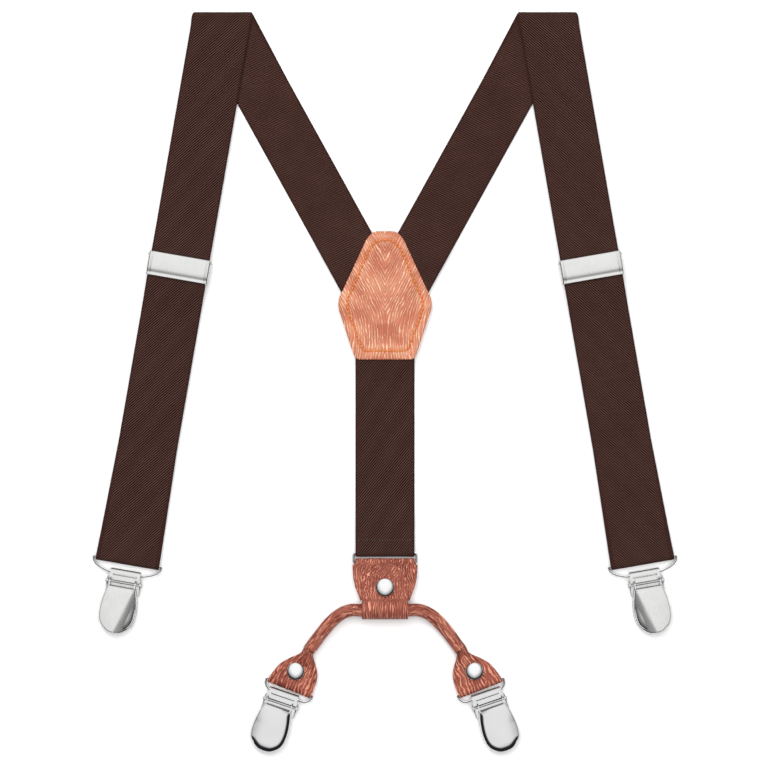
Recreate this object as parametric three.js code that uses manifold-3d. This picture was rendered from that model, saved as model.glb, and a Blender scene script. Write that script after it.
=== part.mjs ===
// A pair of Y-back clip-on suspenders, laid out flat with the front straps folded over at the shoulders.
// Units are millimetres. X runs across, +Y towards the shoulders and +Z up from the surface that it lies on.
// The right half is built and the left half is its mirror image.
import * as THREE from 'three';
import { mergeVertices } from 'three/addons/utils/BufferGeometryUtils.js';
import Module from 'manifold-3d';

const wasm = await Module();
wasm.setup();

// ---------- driving dimensions ----------
const GAP = 0.3; // running and lying clearance between pieces
const WEB = { width: 35, thickness: 1.3, backWidth: 33, endWidth: 38 };
const LEATHER = 1.3; // thickness of every leather
const CLIP_WIRE = 0.7; // radius of the clips' wire bows
const RING_WIRE = 0.8; // radius of the rear ring's wire
const BAR_Z = 2.3; // height of the clip wires
const RING_Z = 2.4; // height of the rear ring
const SHOULDER = { x: 96.2, y: 218.65, tilt: THREE.MathUtils.degToRad(9.85) };
const FOLD = { half: 18.1, corner: 0.7, backLean: -0.52, frontLean: 0.18 }; // edge leans, per mm below it
const STRAP = { adjuster: 152, end: 331 }; // distances down the front strap from the shoulder fold
const DIAGONAL_TILT = THREE.MathUtils.degToRad(28.9);
const PATCH = { top: 90.2, wide: 47.7, bottom: 14.1, half: 28.1, topHalf: 8.4, bottomHalf: 17.5, corner: 9 };
const PATCH_LAYER = { thickness: 1.2, bed: 1.5 }; // bed: height of the webbing between the two leathers
const BACK = { top: 43.5, sewn: -92.8, ring: -100.3, tail: -84 };
const TAB = { ring: -106.5, bottom: -128.4, width: 39, foldWidth: 35, bottomWidth: 30 };
const KEEPER = { width: 27.5, top: -105.9 };
const CORD = { y: -134.1, z: 5.5, radius: 3.9 };
const RIVET = { y: -120.7, radius: 5.3, post: 1.3, hole: 1.7 };
const END = { x: 57.3, y: -181.6, tilt: THREE.MathUtils.degToRad(21.2), fold: 2.3, rivet: 12 };
const FRONT_WIRE = { half: 20.4, drop: 7.5, straight: 11 };
const REAR_WIRE = { half: 14.6, drop: 5.7, straight: 11.3 };
const CLIP = { half: 9, sheet: 0.7, coverTop: -8, coverLength: 28, coverShift: 0.7 };
const CLIP_PIN = { y: -5.6, z: 4, radius: 0.7, half: 10.9 };
const EAR = { inner: 9.5, outer: 10.2 };
const ADJUSTER = { half: 18.5, wall: 0.65, length: 13.4, plate: 15, plateZ: 6.5 };
const ADJUSTER_PIN = { y: 5, z: 5.4, radius: 0.5, half: 19.1 };

// ---------- materials ----------
function finish(color, roughness, metalness) {
  return new THREE.MeshStandardMaterial({ color, roughness, metalness });
}
const webbingCloth = finish(0x44302b, 0.85, 0);
const tanLeather = finish(0xd98c6c, 0.55, 0);
const redLeather = finish(0xb9654f, 0.5, 0);
const orangeThread = finish(0xd9782c, 0.8, 0);
const brownThread = finish(0x2e1a17, 0.8, 0);
const satinNickel = finish(0xd4d4d0, 0.32, 1);
const brightChrome = finish(0xe6e6e8, 0.12, 1);
const darkInsert = finish(0x3a3a3c, 0.5, 0);

// ---------- solids and shared shapes ----------
// The manifold-3d solid of a closed geometry; faces that have shrunk to a line are dropped.
function solid(geometry) {
  const bare = geometry.clone();
  bare.deleteAttribute('normal');
  bare.deleteAttribute('uv');
  const merged = mergeVertices(bare, 1e-4);
  const index = merged.index.array;
  const triangles = [];
  for (let i = 0; i < index.length; i += 3) {
    const [a, b, c] = [index[i], index[i + 1], index[i + 2]];
    if (a !== b && b !== c && c !== a) triangles.push(a, b, c);
  }
  const triVerts = new Uint32Array(triangles);
  const vertProperties = merged.attributes.position.array;
  return new wasm.Manifold(new wasm.Mesh({ numProp: 3, vertProperties, triVerts }));
}

function geometryOf(made) {
  const mesh = made.getMesh();
  const geometry = new THREE.BufferGeometry();
  geometry.setAttribute('position', new THREE.BufferAttribute(mesh.vertProperties, 3));
  geometry.setIndex(new THREE.BufferAttribute(mesh.triVerts, 1));
  return geometry;
}

// The first geometry joined with the others.
function joined(first, ...others) {
  return geometryOf(others.reduce((sum, next) => sum.add(solid(next)), solid(first)));
}

// The geometry with the cutters taken away.
function cut(geometry, ...cutters) {
  return geometryOf(cutters.reduce((rest, next) => rest.subtract(solid(next)), solid(geometry)));
}

function box(x0, x1, y0, y1, z0, z1) {
  const geometry = new THREE.BoxGeometry(x1 - x0, y1 - y0, z1 - z0);
  return geometry.translate((x0 + x1) / 2, (y0 + y1) / 2, (z0 + z1) / 2);
}

// An upright round post or hole.
function post(x, y, radius, z0, z1) {
  const geometry = new THREE.CylinderGeometry(radius, radius, z1 - z0, 16).rotateX(Math.PI / 2);
  return geometry.translate(x, y, (z0 + z1) / 2);
}

// A round pin lying across the part, centred on x = 0.
function crossPin(radius, half, y, z, sides = 12) {
  const geometry = new THREE.CylinderGeometry(radius, radius, 2 * half, sides).rotateZ(Math.PI / 2);
  return geometry.translate(0, y, z);
}

// A side outline, drawn in (y, z), made as thick as the stretch from x0 to x1.
function sidePlate(outline, x0, x1) {
  const geometry = new THREE.ExtrudeGeometry(outline, { depth: x1 - x0, bevelEnabled: false, curveSegments: 6 });
  const turn = new THREE.Matrix4().makeBasis(
    new THREE.Vector3(0, 1, 0),
    new THREE.Vector3(0, 0, 1),
    new THREE.Vector3(1, 0, 0),
  );
  return geometry.applyMatrix4(turn).translate(x0, 0, 0);
}

// A band: a flat box bent along its route. Each station gives the places of its two edges.
function band(stations, thickness) {
  const last = stations.length - 1;
  const middles = stations.map(({ left, right }) => left.clone().lerp(right, 0.5));
  const ups = stations.map(({ left, right }, i) => {
    const along = middles[Math.min(i + 1, last)].clone().sub(middles[Math.max(i - 1, 0)]);
    return right.clone().sub(left).cross(along).normalize();
  });
  const geometry = new THREE.BoxGeometry(1, last, 1, 1, last, 1);
  const position = geometry.attributes.position;
  for (let i = 0; i < position.count; i++) {
    const station = Math.round(position.getY(i) + last / 2);
    const point = stations[station].left.clone().lerp(stations[station].right, position.getX(i) + 0.5);
    point.addScaledVector(ups[station], position.getZ(i) * thickness);
    position.setXYZ(i, point.x, point.y, point.z);
  }
  return geometry;
}

// The points of a side route in (y, z), with any that coincide left out.
function routePoints(route, divisions = 5) {
  return route.getPoints(divisions).filter((p, i, all) => i === 0 || p.distanceTo(all[i - 1]) > 0.05);
}

// A band whose route is drawn in (y, z). edges(y) gives its left and right x there.
function sideBand(route, edges, thickness) {
  const stations = routePoints(route).map((p) => {
    const [x0, x1] = edges(p.x);
    return { left: new THREE.Vector3(x0, p.x, p.y), right: new THREE.Vector3(x1, p.x, p.y) };
  });
  return band(stations, thickness);
}

// A closed ring of round wire that follows a flat path: a torus bent along it.
function wireRing(path, radius, z) {
  const points = routePoints(path, 4);
  if (points[0].distanceTo(points[points.length - 1]) < 0.05) points.pop();
  const count = points.length;
  const sides = 8;
  const geometry = new THREE.TorusGeometry(1, 0.2, sides, count);
  const position = geometry.attributes.position;
  for (let i = 0; i < position.count; i++) {
    const step = i % (count + 1);
    const turn = (Math.floor(i / (count + 1)) / sides) * 2 * Math.PI;
    const here = points[step % count];
    const before = here.clone().sub(points[(step + count - 1) % count]).normalize();
    const after = points[(step + 1) % count].clone().sub(here).normalize();
    const along = before.clone().add(after).normalize();
    const stretch = 1 / Math.max(0.5, along.dot(after));
    const out = radius * Math.cos(turn) * stretch;
    position.setXYZ(i, here.x + along.y * out, here.y - along.x * out, z + radius * Math.sin(turn));
  }
  return geometry;
}

// A moulded piece: a lathe whose round outline is stretched to a flat outline round its centre.
// The profile holds [share of the outline, height] pairs and starts and ends on the axis.
function moulded(profile, outline, centre) {
  const count = outline.length;
  const geometry = new THREE.LatheGeometry(profile.map(([share, z]) => new THREE.Vector2(share, z)), count);
  const position = geometry.attributes.position;
  for (let i = 0; i < position.count; i++) {
    const edge = outline[Math.floor(i / profile.length) % count];
    const [share, z] = profile[i % profile.length];
    position.setXYZ(i, centre.x + (edge.x - centre.x) * share, centre.y + (edge.y - centre.y) * share, z);
  }
  return geometry;
}

// A flat piece of an outline's shape between two heights, with its upper edge eased.
function flatPiece(outline, centre, z0, z1) {
  const eased = [[0, z0], [1, z0], [1, z1 - 0.4], [0.985, z1], [0, z1]];
  return moulded(eased, outline, centre);
}

// The two ends of a value that runs evenly along y, held level beyond them.
function evenly(y, y0, value0, y1, value1) {
  const share = THREE.MathUtils.clamp((y - y0) / (y1 - y0), 0, 1);
  return THREE.MathUtils.lerp(value0, value1, share);
}

// The x of an outline given by [y, x] points in falling y.
function edgeAt(points, y) {
  const i = Math.max(1, points.findIndex(([py]) => py <= y));
  const [[y0, x0], [y1, x1]] = [points[i - 1], points[i]];
  return evenly(y, y0, x0, y1, x1);
}

// ---------- placing ----------
const suspenders = new THREE.Group();

function put(group, name, geometry, material) {
  const mesh = new THREE.Mesh(geometry, material);
  mesh.name = name;
  group.add(mesh);
}

// A group turned about Z, for pieces drawn with their own -Y down the strap.
function turnedGroup(parent, x, y, tilt) {
  const group = new THREE.Group();
  group.position.set(x, y, 0);
  group.rotation.z = tilt;
  parent.add(group);
  return group;
}

// ---------- back patch ----------
function patchOutline(inset) {
  const w = PATCH.half - inset;
  const top = PATCH.top - inset;
  const bottom = PATCH.bottom + inset;
  const topHalf = PATCH.topHalf - 0.4 * inset;
  const bottomHalf = PATCH.bottomHalf - 0.75 * inset;
  const outline = new THREE.Shape();
  outline.moveTo(bottomHalf - 2.7, bottom);
  outline.quadraticCurveTo(bottomHalf, bottom, bottomHalf + 1.2, bottom + 3.4);
  outline.lineTo(w - 2, PATCH.wide - 7.5);
  outline.quadraticCurveTo(w + 1.4, PATCH.wide, w - 2.6, PATCH.wide + 6.5);
  outline.lineTo(topHalf + 4.6, top - PATCH.corner);
  outline.quadraticCurveTo(topHalf + 1, top, topHalf - 4.6, top);
  const half = outline.getPoints(4);
  const other = half.map((p) => new THREE.Vector2(-p.x, p.y)).reverse();
  return [...half, ...other];
}

function buildPatch() {
  const centre = new THREE.Vector2(0, 50);
  const outline = patchOutline(0);
  const frontZ = PATCH_LAYER.bed + WEB.thickness + GAP;
  put(suspenders, 'patch_back', flatPiece(outline, centre, 0, PATCH_LAYER.thickness), tanLeather);
  put(suspenders, 'patch_front', flatPiece(outline, centre, frontZ, frontZ + PATCH_LAYER.thickness), tanLeather);
  const stitchLine = new THREE.Path(patchOutline(5.3));
  stitchLine.closePath();
  const stitchZ = frontZ + PATCH_LAYER.thickness + 0.55;
  put(suspenders, 'patch_stitching', wireRing(stitchLine, 0.25, stitchZ), orangeThread);
}

// ---------- webbing ----------
const layerZ = WEB.thickness / 2; // middle of a layer that lies on the surface
const upperZ = layerZ + WEB.thickness + GAP; // middle of a layer that lies on another
const bedZ = PATCH_LAYER.bed + WEB.thickness / 2; // middle of a layer inside the patch

// One side's webbing, from under the patch up to the shoulder, over, and down to the adjuster's bar.
function buildShoulderWebbing(side, name) {
  const down = new THREE.Vector2(-Math.sin(DIAGONAL_TILT), -Math.cos(DIAGONAL_TILT));
  const out = new THREE.Vector2(Math.cos(DIAGONAL_TILT), -Math.sin(DIAGONAL_TILT));
  const station = (inner, outer, z) => ({
    left: new THREE.Vector3(inner.x, inner.y, z),
    right: new THREE.Vector3(outer.x, outer.y, z),
  });
  const innerEnd = new THREE.Vector2(GAP, 76);
  const diagonal = (distance, z) => {
    const inner = innerEnd.clone().addScaledVector(down, -distance);
    return station(inner, inner.clone().addScaledVector(out, WEB.backWidth), z);
  };
  // Both edges meet the horizontal fold at a slant, by lean for each millimetre below it.
  const fold = (drop, z, lean, ease = 0) => station(
    new THREE.Vector2(SHOULDER.x - FOLD.half + ease + drop * lean, SHOULDER.y - drop),
    new THREE.Vector2(SHOULDER.x + FOLD.half - ease + drop * lean, SHOULDER.y - drop),
    z,
  );
  const stations = [
    station(new THREE.Vector2(GAP, BACK.top + GAP), new THREE.Vector2(20.4, BACK.top + GAP), bedZ),
    diagonal(0, bedZ),
    diagonal(16, bedZ),
    diagonal(30, layerZ),
    diagonal(70, layerZ),
    diagonal(118, layerZ),
  ];
  // The two edges reach the horizontal fold at different distances, so the last stretch shears into it.
  const foldRadius = (upperZ - layerZ) / 2;
  const steps = 6;
  stations.push(fold(2, layerZ, FOLD.backLean));
  for (let i = 0; i <= steps; i++) {
    const turn = (i / steps) * Math.PI;
    const z = layerZ + foldRadius * (1 - Math.cos(turn));
    stations.push(fold(-foldRadius * Math.sin(turn), z, 0, FOLD.corner * Math.sin(turn)));
  }
  stations.push(fold(2, upperZ, FOLD.frontLean));
  const frontDown = new THREE.Vector2(Math.sin(SHOULDER.tilt), -Math.cos(SHOULDER.tilt));
  const frontOut = new THREE.Vector2(Math.cos(SHOULDER.tilt), Math.sin(SHOULDER.tilt));
  const front = (distance, z) => {
    const middle = new THREE.Vector2(SHOULDER.x, SHOULDER.y).addScaledVector(frontDown, distance);
    const inner = middle.clone().addScaledVector(frontOut, -WEB.width / 2);
    return station(inner, middle.clone().addScaledVector(frontOut, WEB.width / 2), z);
  };
  const heights = [[10, upperZ], [60, upperZ], [128, upperZ], [144, 3.4], [147.2, 3.45], [149.4, 4.9], [150.6, 4.95]];
  heights.forEach(([distance, z]) => stations.push(front(distance, z)));
  put(side, name, band(stations, WEB.thickness), webbingCloth);
}

// The doubled end: down from the adjuster, round the clip's wire, back behind and round the adjuster's bar.
function buildWebbingLoop(group, name) {
  const bar = -STRAP.end + CLIP_WIRE + GAP + WEB.thickness;
  const round = CLIP_WIRE + GAP + WEB.thickness / 2;
  const anchor = -STRAP.adjuster - 1;
  const barRound = 1.35;
  const route = new THREE.Path();
  route.moveTo(-151, 4.95);
  route.lineTo(-162, 4.95);
  route.lineTo(-178, upperZ);
  route.lineTo(bar + 14, upperZ);
  route.lineTo(bar + 4, BAR_Z + round - 0.4);
  route.lineTo(bar + 1, BAR_Z + round);
  route.absarc(bar, BAR_Z, round, Math.PI / 2, (3 * Math.PI) / 2, false);
  route.lineTo(bar + 40, layerZ);
  route.lineTo(anchor - 2, layerZ);
  route.absarc(anchor, layerZ + barRound, barRound, -Math.PI / 2, Math.PI / 2, false);
  route.lineTo(anchor - 8, layerZ + 2 * barRound);
  const edges = (y) => {
    const half = evenly(y, bar + 70, WEB.width / 2, bar, WEB.endWidth / 2);
    return [-half, half];
  };
  put(group, name, sideBand(route, edges, WEB.thickness), webbingCloth);
}

function buildBackWebbing() {
  const round = RING_WIRE + GAP + WEB.thickness / 2;
  const route = new THREE.Path();
  route.moveTo(BACK.top, bedZ);
  route.lineTo(PATCH.bottom - 2, bedZ);
  route.lineTo(PATCH.bottom - 12, layerZ);
  route.lineTo(BACK.tail + 16, layerZ);
  route.lineTo(BACK.tail + 1, upperZ);
  route.lineTo(BACK.sewn, upperZ);
  route.lineTo(BACK.ring + 1, RING_Z + round);
  route.absarc(BACK.ring, RING_Z, round, Math.PI / 2, (3 * Math.PI) / 2, false);
  route.lineTo(BACK.tail, layerZ);
  const half = WEB.width / 2;
  put(suspenders, 'back_webbing', sideBand(route, () => [-half, half], WEB.thickness), webbingCloth);
  const thread = box(-13, 13.4, BACK.sewn - 0.3, BACK.sewn + 0.3, 3.4, 3.9);
  put(suspenders, 'back_stitching', thread, brownThread);
}

// ---------- wires ----------
// A clip's bow: a straight bar at y = 0 for the fold, and a bowed side that the clip hangs on.
function bowPath({ half, drop, straight }) {
  const corner = 0.8;
  const path = new THREE.Path();
  path.moveTo(0, 0);
  path.lineTo(-half + corner, 0);
  path.absarc(-half + corner, -corner, corner, Math.PI / 2, Math.PI, false);
  path.quadraticCurveTo(-half, -0.55 * drop - corner, -straight, -drop);
  path.lineTo(straight, -drop);
  path.quadraticCurveTo(half, -0.55 * drop - corner, half, -corner);
  path.absarc(half - corner, -corner, corner, 0, Math.PI / 2, false);
  path.closePath();
  return path;
}

function ringPath(half, y0, y1, corner) {
  const path = new THREE.Path();
  path.moveTo(0, y1);
  path.absarc(-half + corner, y1 - corner, corner, Math.PI / 2, Math.PI, false);
  path.absarc(-half + corner, y0 + corner, corner, Math.PI, 1.5 * Math.PI, false);
  path.absarc(half - corner, y0 + corner, corner, -Math.PI / 2, 0, false);
  path.absarc(half - corner, y1 - corner, corner, 0, Math.PI / 2, false);
  path.closePath();
  return path;
}

// ---------- clips ----------
// The tongue shape of a cover, as half widths against the distance from its top edge.
function tongueOutline(grow) {
  const top = CLIP.coverTop;
  const length = CLIP.coverLength;
  const right = new THREE.SplineCurve([
    new THREE.Vector2(0, top - length - grow),
    new THREE.Vector2(4.2 + grow, top - length + 0.7),
    new THREE.Vector2(8.4 + grow, top - length + 4),
    new THREE.Vector2(10.4 + grow, top - 20),
    new THREE.Vector2(10.9 + grow, top - 14),
    new THREE.Vector2(10.1 + grow, top - 7),
    new THREE.Vector2(8.6 + grow, top - 1),
  ]);
  const half = [...right.getPoints(11), new THREE.Vector2(8.3 + grow, top)];
  const other = half.slice(1).map((p) => new THREE.Vector2(-p.x, p.y)).reverse();
  return [...half, ...other];
}

// The back plate: its top curls over the wire, two ears stand up for the pin, and the tongue backs the jaw.
function clipPlate() {
  const t = CLIP.sheet;
  const tongue = flatTongue(-0.4, 0, t);
  const neck = box(-EAR.outer, EAR.outer, -12, -2.5, 0, t);
  const inner = 1.5;
  const curl = new THREE.Shape();
  curl.moveTo(-3.5, 0);
  curl.lineTo(0, 0);
  curl.absarc(0, inner + t, inner + t, -Math.PI / 2, Math.PI / 2, false);
  curl.lineTo(-3, 2 * (inner + t));
  curl.lineTo(-3, 2 * inner + t);
  curl.lineTo(0, 2 * inner + t);
  curl.absarc(0, inner + t, inner, Math.PI / 2, -Math.PI / 2, true);
  curl.lineTo(-3.5, t);
  const ear = new THREE.Shape();
  ear.moveTo(-11.5, 0.1);
  ear.lineTo(-2.8, 0.1);
  ear.lineTo(-2.8, CLIP_PIN.z);
  ear.absarc(CLIP_PIN.y, CLIP_PIN.z, 2.1, 0.3, Math.PI - 0.3, false);
  ear.lineTo(-8.1, 2.3);
  ear.lineTo(-11.5, 1.6);
  const slot = box(-7.2, 7.2, -1.9, -0.9, 3, 6);
  const flap = box(-6.3, 6.3, -4.5, -2.9, 2 * inner + t, 2 * (inner + t));
  const body = joined(
    tongue,
    neck,
    sidePlate(curl, -CLIP.half, CLIP.half),
    flap,
    sidePlate(ear, -EAR.outer, -EAR.inner),
    sidePlate(ear, EAR.inner, EAR.outer),
  );
  return cut(body, slot, crossPin(CLIP_PIN.radius + GAP, EAR.outer + 1, CLIP_PIN.y, CLIP_PIN.z));
}

function flatTongue(grow, z0, z1) {
  const centre = new THREE.Vector2(0, CLIP.coverTop - 14);
  return moulded([[0, z0], [1, z0], [1, z1], [0, z1]], tongueOutline(grow), centre);
}

// The cover: a domed shell, open below, with two arms that reach up to the pin.
function clipCover() {
  const centre = new THREE.Vector2(0, CLIP.coverTop - 14);
  const rim = 2.7;
  const shell = moulded([
    [0, 6.5], [0.8, 6.1], [0.92, 5.2], [0.92, rim],
    [1, rim], [1, 5.2], [0.95, 6.3], [0.82, 6.9], [0, 7.3],
  ], tongueOutline(0), centre);
  const arm = new THREE.Shape();
  arm.moveTo(CLIP.coverTop - 1.2, 2.9);
  arm.lineTo(CLIP_PIN.y, CLIP_PIN.z - 1.8);
  arm.absarc(CLIP_PIN.y, CLIP_PIN.z, 1.8, -Math.PI / 2, Math.PI / 2, false);
  arm.lineTo(CLIP.coverTop - 1.2, 6.2);
  const arms = [-8, 7.2].map((x) => sidePlate(arm, x, x + 0.8));
  const hole = crossPin(CLIP_PIN.radius + GAP, EAR.inner, CLIP_PIN.y, CLIP_PIN.z);
  return cut(joined(shell, ...arms), hole).translate(CLIP.coverShift, 0, 0);
}

// The jaw insert under the cover's tip, with grip ribs across its face.
function clipInsert() {
  const top = CLIP.coverTop - CLIP.coverLength;
  const block = box(-6, 6, top + 4.4, top + 13, 1.6, 4.9);
  const ribs = [0, 1, 2, 3].map((i) => {
    const y = top + 4.6 + 2.3 * i;
    return box(-5.8, 5.8, y, y + 1, 1, 2);
  });
  return joined(block, ...ribs).translate(CLIP.coverShift, 0, 0);
}

function clipPin() {
  const { radius, half, y, z } = CLIP_PIN;
  const shaft = crossPin(radius, half, y, z);
  const heads = [-1, 1].map((end) => crossPin(1.1, 0.25, y, z).translate(end * (half - 0.25), 0, 0));
  return joined(shaft, ...heads);
}

// One clip on its bow. The group's origin is on the bow's straight bar, and the clip hangs from the bowed side.
function buildClip(group, name, bow, shift, yaw, metal) {
  put(group, name + '_wire', wireRing(bowPath(bow), CLIP_WIRE, BAR_Z), metal);
  const clip = turnedGroup(group, shift, -bow.drop, yaw);
  put(clip, name + '_clip_plate', clipPlate(), metal);
  put(clip, name + '_clip_cover', clipCover(), metal);
  put(clip, name + '_clip_pin', clipPin(), metal);
  put(clip, name + '_clip_insert', clipInsert(), darkInsert);
}

// ---------- adjusters ----------
// The frame: two side walls joined by two flat bars under the strap.
function adjusterFrame() {
  const { half, wall, length } = ADJUSTER;
  const side = new THREE.Shape();
  side.moveTo(-length / 2, 0.4);
  side.lineTo(length / 2, 0.4);
  side.lineTo(length / 2, 4);
  side.absarc(ADJUSTER_PIN.y, ADJUSTER_PIN.z - 0.5, 1.2, 0, Math.PI / 2, false);
  side.lineTo(-length / 2, 5.8);
  const walls = [-half, half - wall].map((x) => sidePlate(side, x, x + wall));
  const bars = [[-3.6, -0.9], [length / 2 - 2, length / 2]].map(([y0, y1]) => {
    return box(-half + 0.1, half - 0.1, y0, y1, 1.65, 2.35);
  });
  const hole = crossPin(ADJUSTER_PIN.radius + GAP, half + 1, ADJUSTER_PIN.y, ADJUSTER_PIN.z);
  return cut(joined(walls[0], walls[1], ...bars), hole);
}

// The lever: a crowned plate over the strap, with two lugs that the pin passes through.
function adjusterLever() {
  const { half, wall, plate, plateZ } = ADJUSTER;
  const inside = wall + GAP;
  const crown = new THREE.Shape();
  const long = plate / 2;
  crown.moveTo(-long, plateZ - 0.3);
  crown.quadraticCurveTo(0, plateZ + 0.5, long, plateZ - 0.3);
  crown.lineTo(long, plateZ + 0.6);
  crown.quadraticCurveTo(0, plateZ + 1.7, -long, plateZ + 0.6);
  const lug = new THREE.Shape();
  lug.moveTo(ADJUSTER_PIN.y - 1.6, plateZ + 0.5);
  lug.lineTo(ADJUSTER_PIN.y - 1.2, ADJUSTER_PIN.z - 0.6);
  lug.lineTo(ADJUSTER_PIN.y + 1.3, ADJUSTER_PIN.z - 0.6);
  lug.lineTo(ADJUSTER_PIN.y + 1.5, plateZ + 0.4);
  const lugs = [-half + inside, half - inside - 0.7].map((x) => sidePlate(lug, x, x + 0.7));
  const body = joined(sidePlate(crown, -half + 0.3, half - 0.3), ...lugs);
  return cut(body, crossPin(ADJUSTER_PIN.radius + GAP, half, ADJUSTER_PIN.y, ADJUSTER_PIN.z));
}

function buildAdjuster(group, name) {
  const place = turnedGroup(group, 0, -STRAP.adjuster, 0);
  put(place, name + '_frame', adjusterFrame(), satinNickel);
  put(place, name + '_lever', adjusterLever(), satinNickel);
  const pin = crossPin(ADJUSTER_PIN.radius, ADJUSTER_PIN.half, ADJUSTER_PIN.y, ADJUSTER_PIN.z);
  put(place, name + '_pin', pin, satinNickel);
}

// ---------- rear leather ----------
function buildRearTab() {
  const round = RING_WIRE + GAP + LEATHER / 2;
  const backZ = 3.05;
  const frontZ = backZ + LEATHER + GAP;
  const route = new THREE.Path();
  route.moveTo(TAB.bottom, frontZ);
  route.lineTo(TAB.ring - 6, frontZ);
  route.lineTo(TAB.ring - 1, RING_Z + round);
  route.absarc(TAB.ring, RING_Z, round, Math.PI / 2, -Math.PI / 2, true);
  route.lineTo(TAB.ring - 1, RING_Z - round);
  route.lineTo(TAB.ring - 7, backZ);
  route.lineTo(TAB.bottom, backZ);
  const shape = [
    [TAB.ring + 3, TAB.foldWidth / 2],
    [TAB.ring - 1.6, TAB.foldWidth / 2],
    [TAB.ring - 3, TAB.width / 2],
    [TAB.ring - 9, TAB.width / 2],
    [TAB.ring - 14, TAB.width / 2 - 1.2],
    [TAB.bottom, TAB.bottomWidth / 2],
  ];
  const edges = (y) => [-edgeAt(shape, y), edgeAt(shape, y)];
  const tab = sideBand(densified(route), edges, LEATHER);
  put(suspenders, 'rear_tab', cut(tab, post(0, RIVET.y, RIVET.hole, -1, 12)), redLeather);
}

// The same route with its long straight stretches split, so that a changing width can follow.
function densified(route) {
  const finer = new THREE.Path();
  const points = routePoints(route);
  finer.moveTo(points[0].x, points[0].y);
  points.slice(1).forEach((p, i) => {
    const start = points[i];
    const pieces = Math.ceil(p.distanceTo(start) / 3);
    for (let k = 1; k <= pieces; k++) {
      const at = start.clone().lerp(p, k / pieces);
      finer.lineTo(at.x, at.y);
    }
  });
  return finer;
}

// The keeper: riveted over the tab, down round the cord and back up behind.
function buildKeeper() {
  const frontZ = 6.25;
  const backZ = 1.45;
  const round = CORD.radius + GAP + LEATHER / 2;
  const route = new THREE.Path();
  route.moveTo(KEEPER.top, frontZ);
  route.lineTo(CORD.y + 7.9, frontZ);
  route.lineTo(CORD.y + 5.4, CORD.z + 1.9);
  route.lineTo(CORD.y + round * Math.cos(0.75), CORD.z + round * Math.sin(0.75));
  route.absarc(CORD.y, CORD.z, round, 0.75, (3 * Math.PI) / 2, false);
  route.lineTo(CORD.y + 6, CORD.z - round);
  route.lineTo(CORD.y + 9, backZ);
  route.lineTo(RIVET.y + 7, backZ);
  const half = KEEPER.width / 2;
  const edges = (y) => {
    const into = THREE.MathUtils.clamp((y - (KEEPER.top - half)) / half, 0, 0.98);
    const here = half * Math.sqrt(1 - into * into);
    return [-here, here];
  };
  const keeper = sideBand(densified(route), edges, LEATHER);
  put(suspenders, 'cord_keeper', cut(keeper, post(0, RIVET.y, RIVET.hole, -1, 12)), redLeather);
}

// A two-part rivet: a post with a flat head behind, and a domed cap in front with a socket for it.
function buildRivet(group, name, y, layersTop) {
  const top = layersTop + GAP;
  const postTop = top + 1;
  const postProfile = [[0, 0], [3.4, 0], [3.4, 0.45], [RIVET.post, 0.45], [RIVET.post, postTop], [0, postTop]];
  const socket = RIVET.post + GAP;
  const r = RIVET.radius;
  const capProfile = [
    [0, postTop + GAP], [socket, postTop + GAP], [socket, top], [r, top],
    [r, top + 0.5], [0.86 * r, top + 1.25], [0.5 * r, top + 1.85], [0, top + 2.1],
  ];
  [['_post', postProfile], ['_cap', capProfile]].forEach(([part, profile]) => {
    const geometry = new THREE.LatheGeometry(profile.map(([x, z]) => new THREE.Vector2(x, z)), 20);
    put(group, name + part, geometry.rotateX(Math.PI / 2).translate(0, y, 0), brightChrome);
  });
}

// The rolled cord, straight where it runs in the keeper and curving down to both ends.
function buildCord() {
  const half = [
    [45.4, -158.4, 4.1], [43.3, -155.6, 4.1], [38.5, -149, 4.1], [32.5, -141.8, 4.4],
    [26.4, -136.6, 4.9], [20.4, -134.2, 5.4], [15, CORD.y, CORD.z], [7, CORD.y, CORD.z],
  ];
  const points = [
    ...half.map(([x, y, z]) => new THREE.Vector3(-x, y, z)),
    ...half.map(([x, y, z]) => new THREE.Vector3(x, y, z)).reverse(),
  ];
  const circle = new THREE.Shape();
  circle.absarc(0, 0, CORD.radius, 0, 2 * Math.PI, false);
  const geometry = new THREE.ExtrudeGeometry(circle, {
    steps: 30,
    curveSegments: 5,
    extrudePath: new THREE.CatmullRomCurve3(points),
  });
  put(suspenders, 'harness_cord', geometry, redLeather);
}

// One flared end of the harness: a leaf of leather folded round the clip's bow and riveted to itself.
function buildHarnessEnd(group, name) {
  const outer = [[24.8, -0.3], [21.5, 0.8], [17.1, 6.7], [13, 10.2], [8.9, 11.8], [4, 13.2], [-1, 13.6]];
  const inner = [[24.8, -5.6], [22.1, -6.6], [19.9, -9.3], [17, -11.7], [14.3, -13], [10, -13.9], [5, -14], [-1, -13.6]];
  const round = CLIP_WIRE + GAP + LEATHER / 2;
  const backZ = 1.45;
  const frontZ = backZ + LEATHER + GAP;
  const route = new THREE.Path();
  const neck = 24.8 - END.fold;
  route.moveTo(neck, frontZ);
  route.lineTo(4, frontZ);
  route.lineTo(1, BAR_Z + round);
  route.absarc(0, BAR_Z, round, Math.PI / 2, (3 * Math.PI) / 2, false);
  route.lineTo(1, BAR_Z - round);
  route.lineTo(6, backZ);
  route.lineTo(neck, backZ);
  const edges = (y) => [edgeAt(inner, y + END.fold), edgeAt(outer, y + END.fold)];
  const leaf = sideBand(densified(route), edges, LEATHER);
  const rivetY = END.rivet - END.fold;
  put(group, name, cut(leaf, post(0, rivetY, RIVET.hole, -1, 8)), redLeather);
  buildRivet(group, name + '_rivet', rivetY, frontZ + LEATHER / 2);
}

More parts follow.
